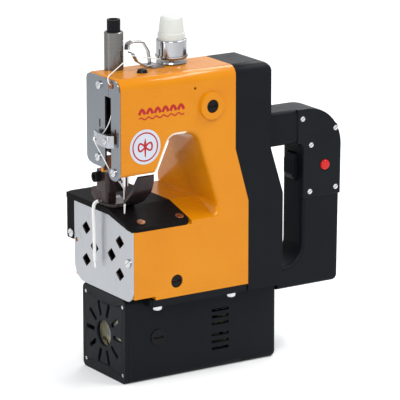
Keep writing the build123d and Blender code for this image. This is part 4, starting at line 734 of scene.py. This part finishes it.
def make_badge():
    """A round vinyl badge with a needle-and-loop symbol, in place of printed marks."""
    bm = bmesh.new()
    disc_mesh(bm, BADGE_CENTRE, BADGE_RADIUS, NEAR_SKIN_Y + 0.02, VINYL_Y)
    mesh = mesh_from(bm, "round_badge")
    link_mesh("round_badge", mesh, BADGE, "frame", smooth=False)
    bm = bmesh.new()
    disc_mesh(bm, BADGE_CENTRE, 12.0, PRINT_BACK_Y, PRINT_FACE_Y, inner=10.9)
    # a slim upright needle, crossed by a figure-of-eight loop of thread
    x, z = BADGE_CENTRE
    needle = [(x, z + 7.5), (x + 1.1, z + 3.0), (x + 0.55, z - 7.8)]
    needle += [(x, z - 8.6), (x - 0.55, z - 7.8), (x - 1.1, z + 3.0)]
    low = [bm.verts.new(mm(px, PRINT_BACK_Y, pz)) for px, pz in needle]
    high = [bm.verts.new(mm(px, PRINT_FACE_Y, pz)) for px, pz in needle]
    bm.faces.new(low)
    bm.faces.new(list(reversed(high)))
    for k in range(len(needle)):
        n = (k + 1) % len(needle)
        bm.faces.new((low[k], high[k], high[n], low[n]))
    loop = [mm(x + 6.4 * math.cos(a), NEAR_SKIN_Y - 0.17, z + 3.1 * math.sin(2 * a))
            for a in (2 * math.pi * i / 72 for i in range(73))]
    add_flat_ribbon(bm, loop, 0.75 * MM, 0.09 * MM)
    mesh = mesh_from(bm, "badge_symbol")
    link_mesh("badge_symbol", mesh, RED_INK, "frame", smooth=False)


def add_flat_ribbon(bm, line, half_width, thick):
    """A flat printed line facing the near side."""
    rows = []
    for i, point in enumerate(line):
        ahead = line[min(i + 1, len(line) - 1)]
        behind = line[max(i - 1, 0)]
        run = (ahead - behind).normalized()
        across = Vector((-run.z, 0, run.x)) * half_width
        skin = Vector((0, thick / 2, 0))
        rows.append([bm.verts.new(point + across + skin), bm.verts.new(point - across + skin),
                     bm.verts.new(point - across - skin), bm.verts.new(point + across - skin)])
    for row, following in zip(rows, rows[1:]):
        for k in range(4):
            n = (k + 1) % 4
            bm.faces.new((row[k], row[n], following[n], following[k]))
    bm.faces.new(list(reversed(rows[0])))
    bm.faces.new(rows[-1])


def make_stitch_mark():
    """A row of red stitch dashes with a thread wave under it, where a name would be printed."""
    bm = bmesh.new()
    first_x, last_x, mark_z = -67.0, -23.0, 227.6
    ink_y = NEAR_SKIN_Y - 0.04
    dashes = 6
    pitch = (last_x - first_x) / dashes
    for i in range(dashes):
        start_x = first_x + i * pitch
        line = [mm(start_x + 5.4 * t / 6, ink_y, mark_z + 4.0 * math.sin(math.pi * t / 6))
                for t in range(7)]
        add_flat_ribbon(bm, line, 1.2 * MM, 0.1 * MM)
    wave = [mm(first_x + (last_x - first_x - 1.6) * t / 120, ink_y,
               mark_z - 3.4 + 0.9 * math.sin(2 * math.pi * dashes * t / 120)) for t in range(121)]
    add_flat_ribbon(bm, wave, 0.5 * MM, 0.1 * MM)
    mesh = mesh_from(bm, "stitch_mark")
    link_mesh("stitch_mark", mesh, RED_INK, "frame", smooth=False)


make_badge()
make_stitch_mark()


# ---- Studio ----
def make_floor():
    """A plain pale sheet that the machine stands on."""
    bm = bmesh.new()
    bmesh.ops.create_grid(bm, x_segments=1, y_segments=1, size=6)
    floor = bpy.data.objects.new("floor", mesh_from(bm, "floor"))
    n = Nodes("floor_paper")
    n.colour(n.mix(n.noise(3, 2), (0.86, 0.86, 0.86), (0.88, 0.88, 0.88)))
    n.set(Roughness=0.9, Specular_IOR_Level=0.1)
    floor.data.materials.append(n.material)
    bpy.context.collection.objects.link(floor)


def area_light(name, at, target, size, power):
    """A white rectangular softbox turned to its target; size is width and height in metres."""
    data = bpy.data.lights.new(name, "AREA")
    data.shape = "RECTANGLE"
    data.size, data.size_y = size
    data.energy = power
    light = bpy.data.objects.new(name, data)
    light.location = at
    light.rotation_euler = (Vector(target) - Vector(at)).to_track_quat("-Z", "Y").to_euler()
    bpy.context.collection.objects.link(light)


def make_world():
    """An even, slightly cool surround that fills the shadows."""
    world = bpy.data.worlds.new("studio")
    bpy.context.scene.world = world
    world.use_nodes = True
    background = world.node_tree.nodes["Background"]
    background.inputs["Color"].default_value = (0.97, 0.985, 1.0, 1.0)
    background.inputs["Strength"].default_value = 0.76


make_floor()
make_world()
TARGET = (0.0, 0.0, 0.15)
area_light("key", (-1.1, -1.5, 1.5), TARGET, (0.8, 0.8), 26)
area_light("front_fill", (-1.8, 0.1, 0.7), TARGET, (0.5, 1.2), 9)
area_light("rim", (1.2, 1.1, 1.3), TARGET, (0.9, 0.9), 12)
area_light("top_strip", (0.62, -0.30, 1.15), TARGET, (0.9, 0.22), 9)
bpy.context.scene.view_settings.view_transform = "Standard"
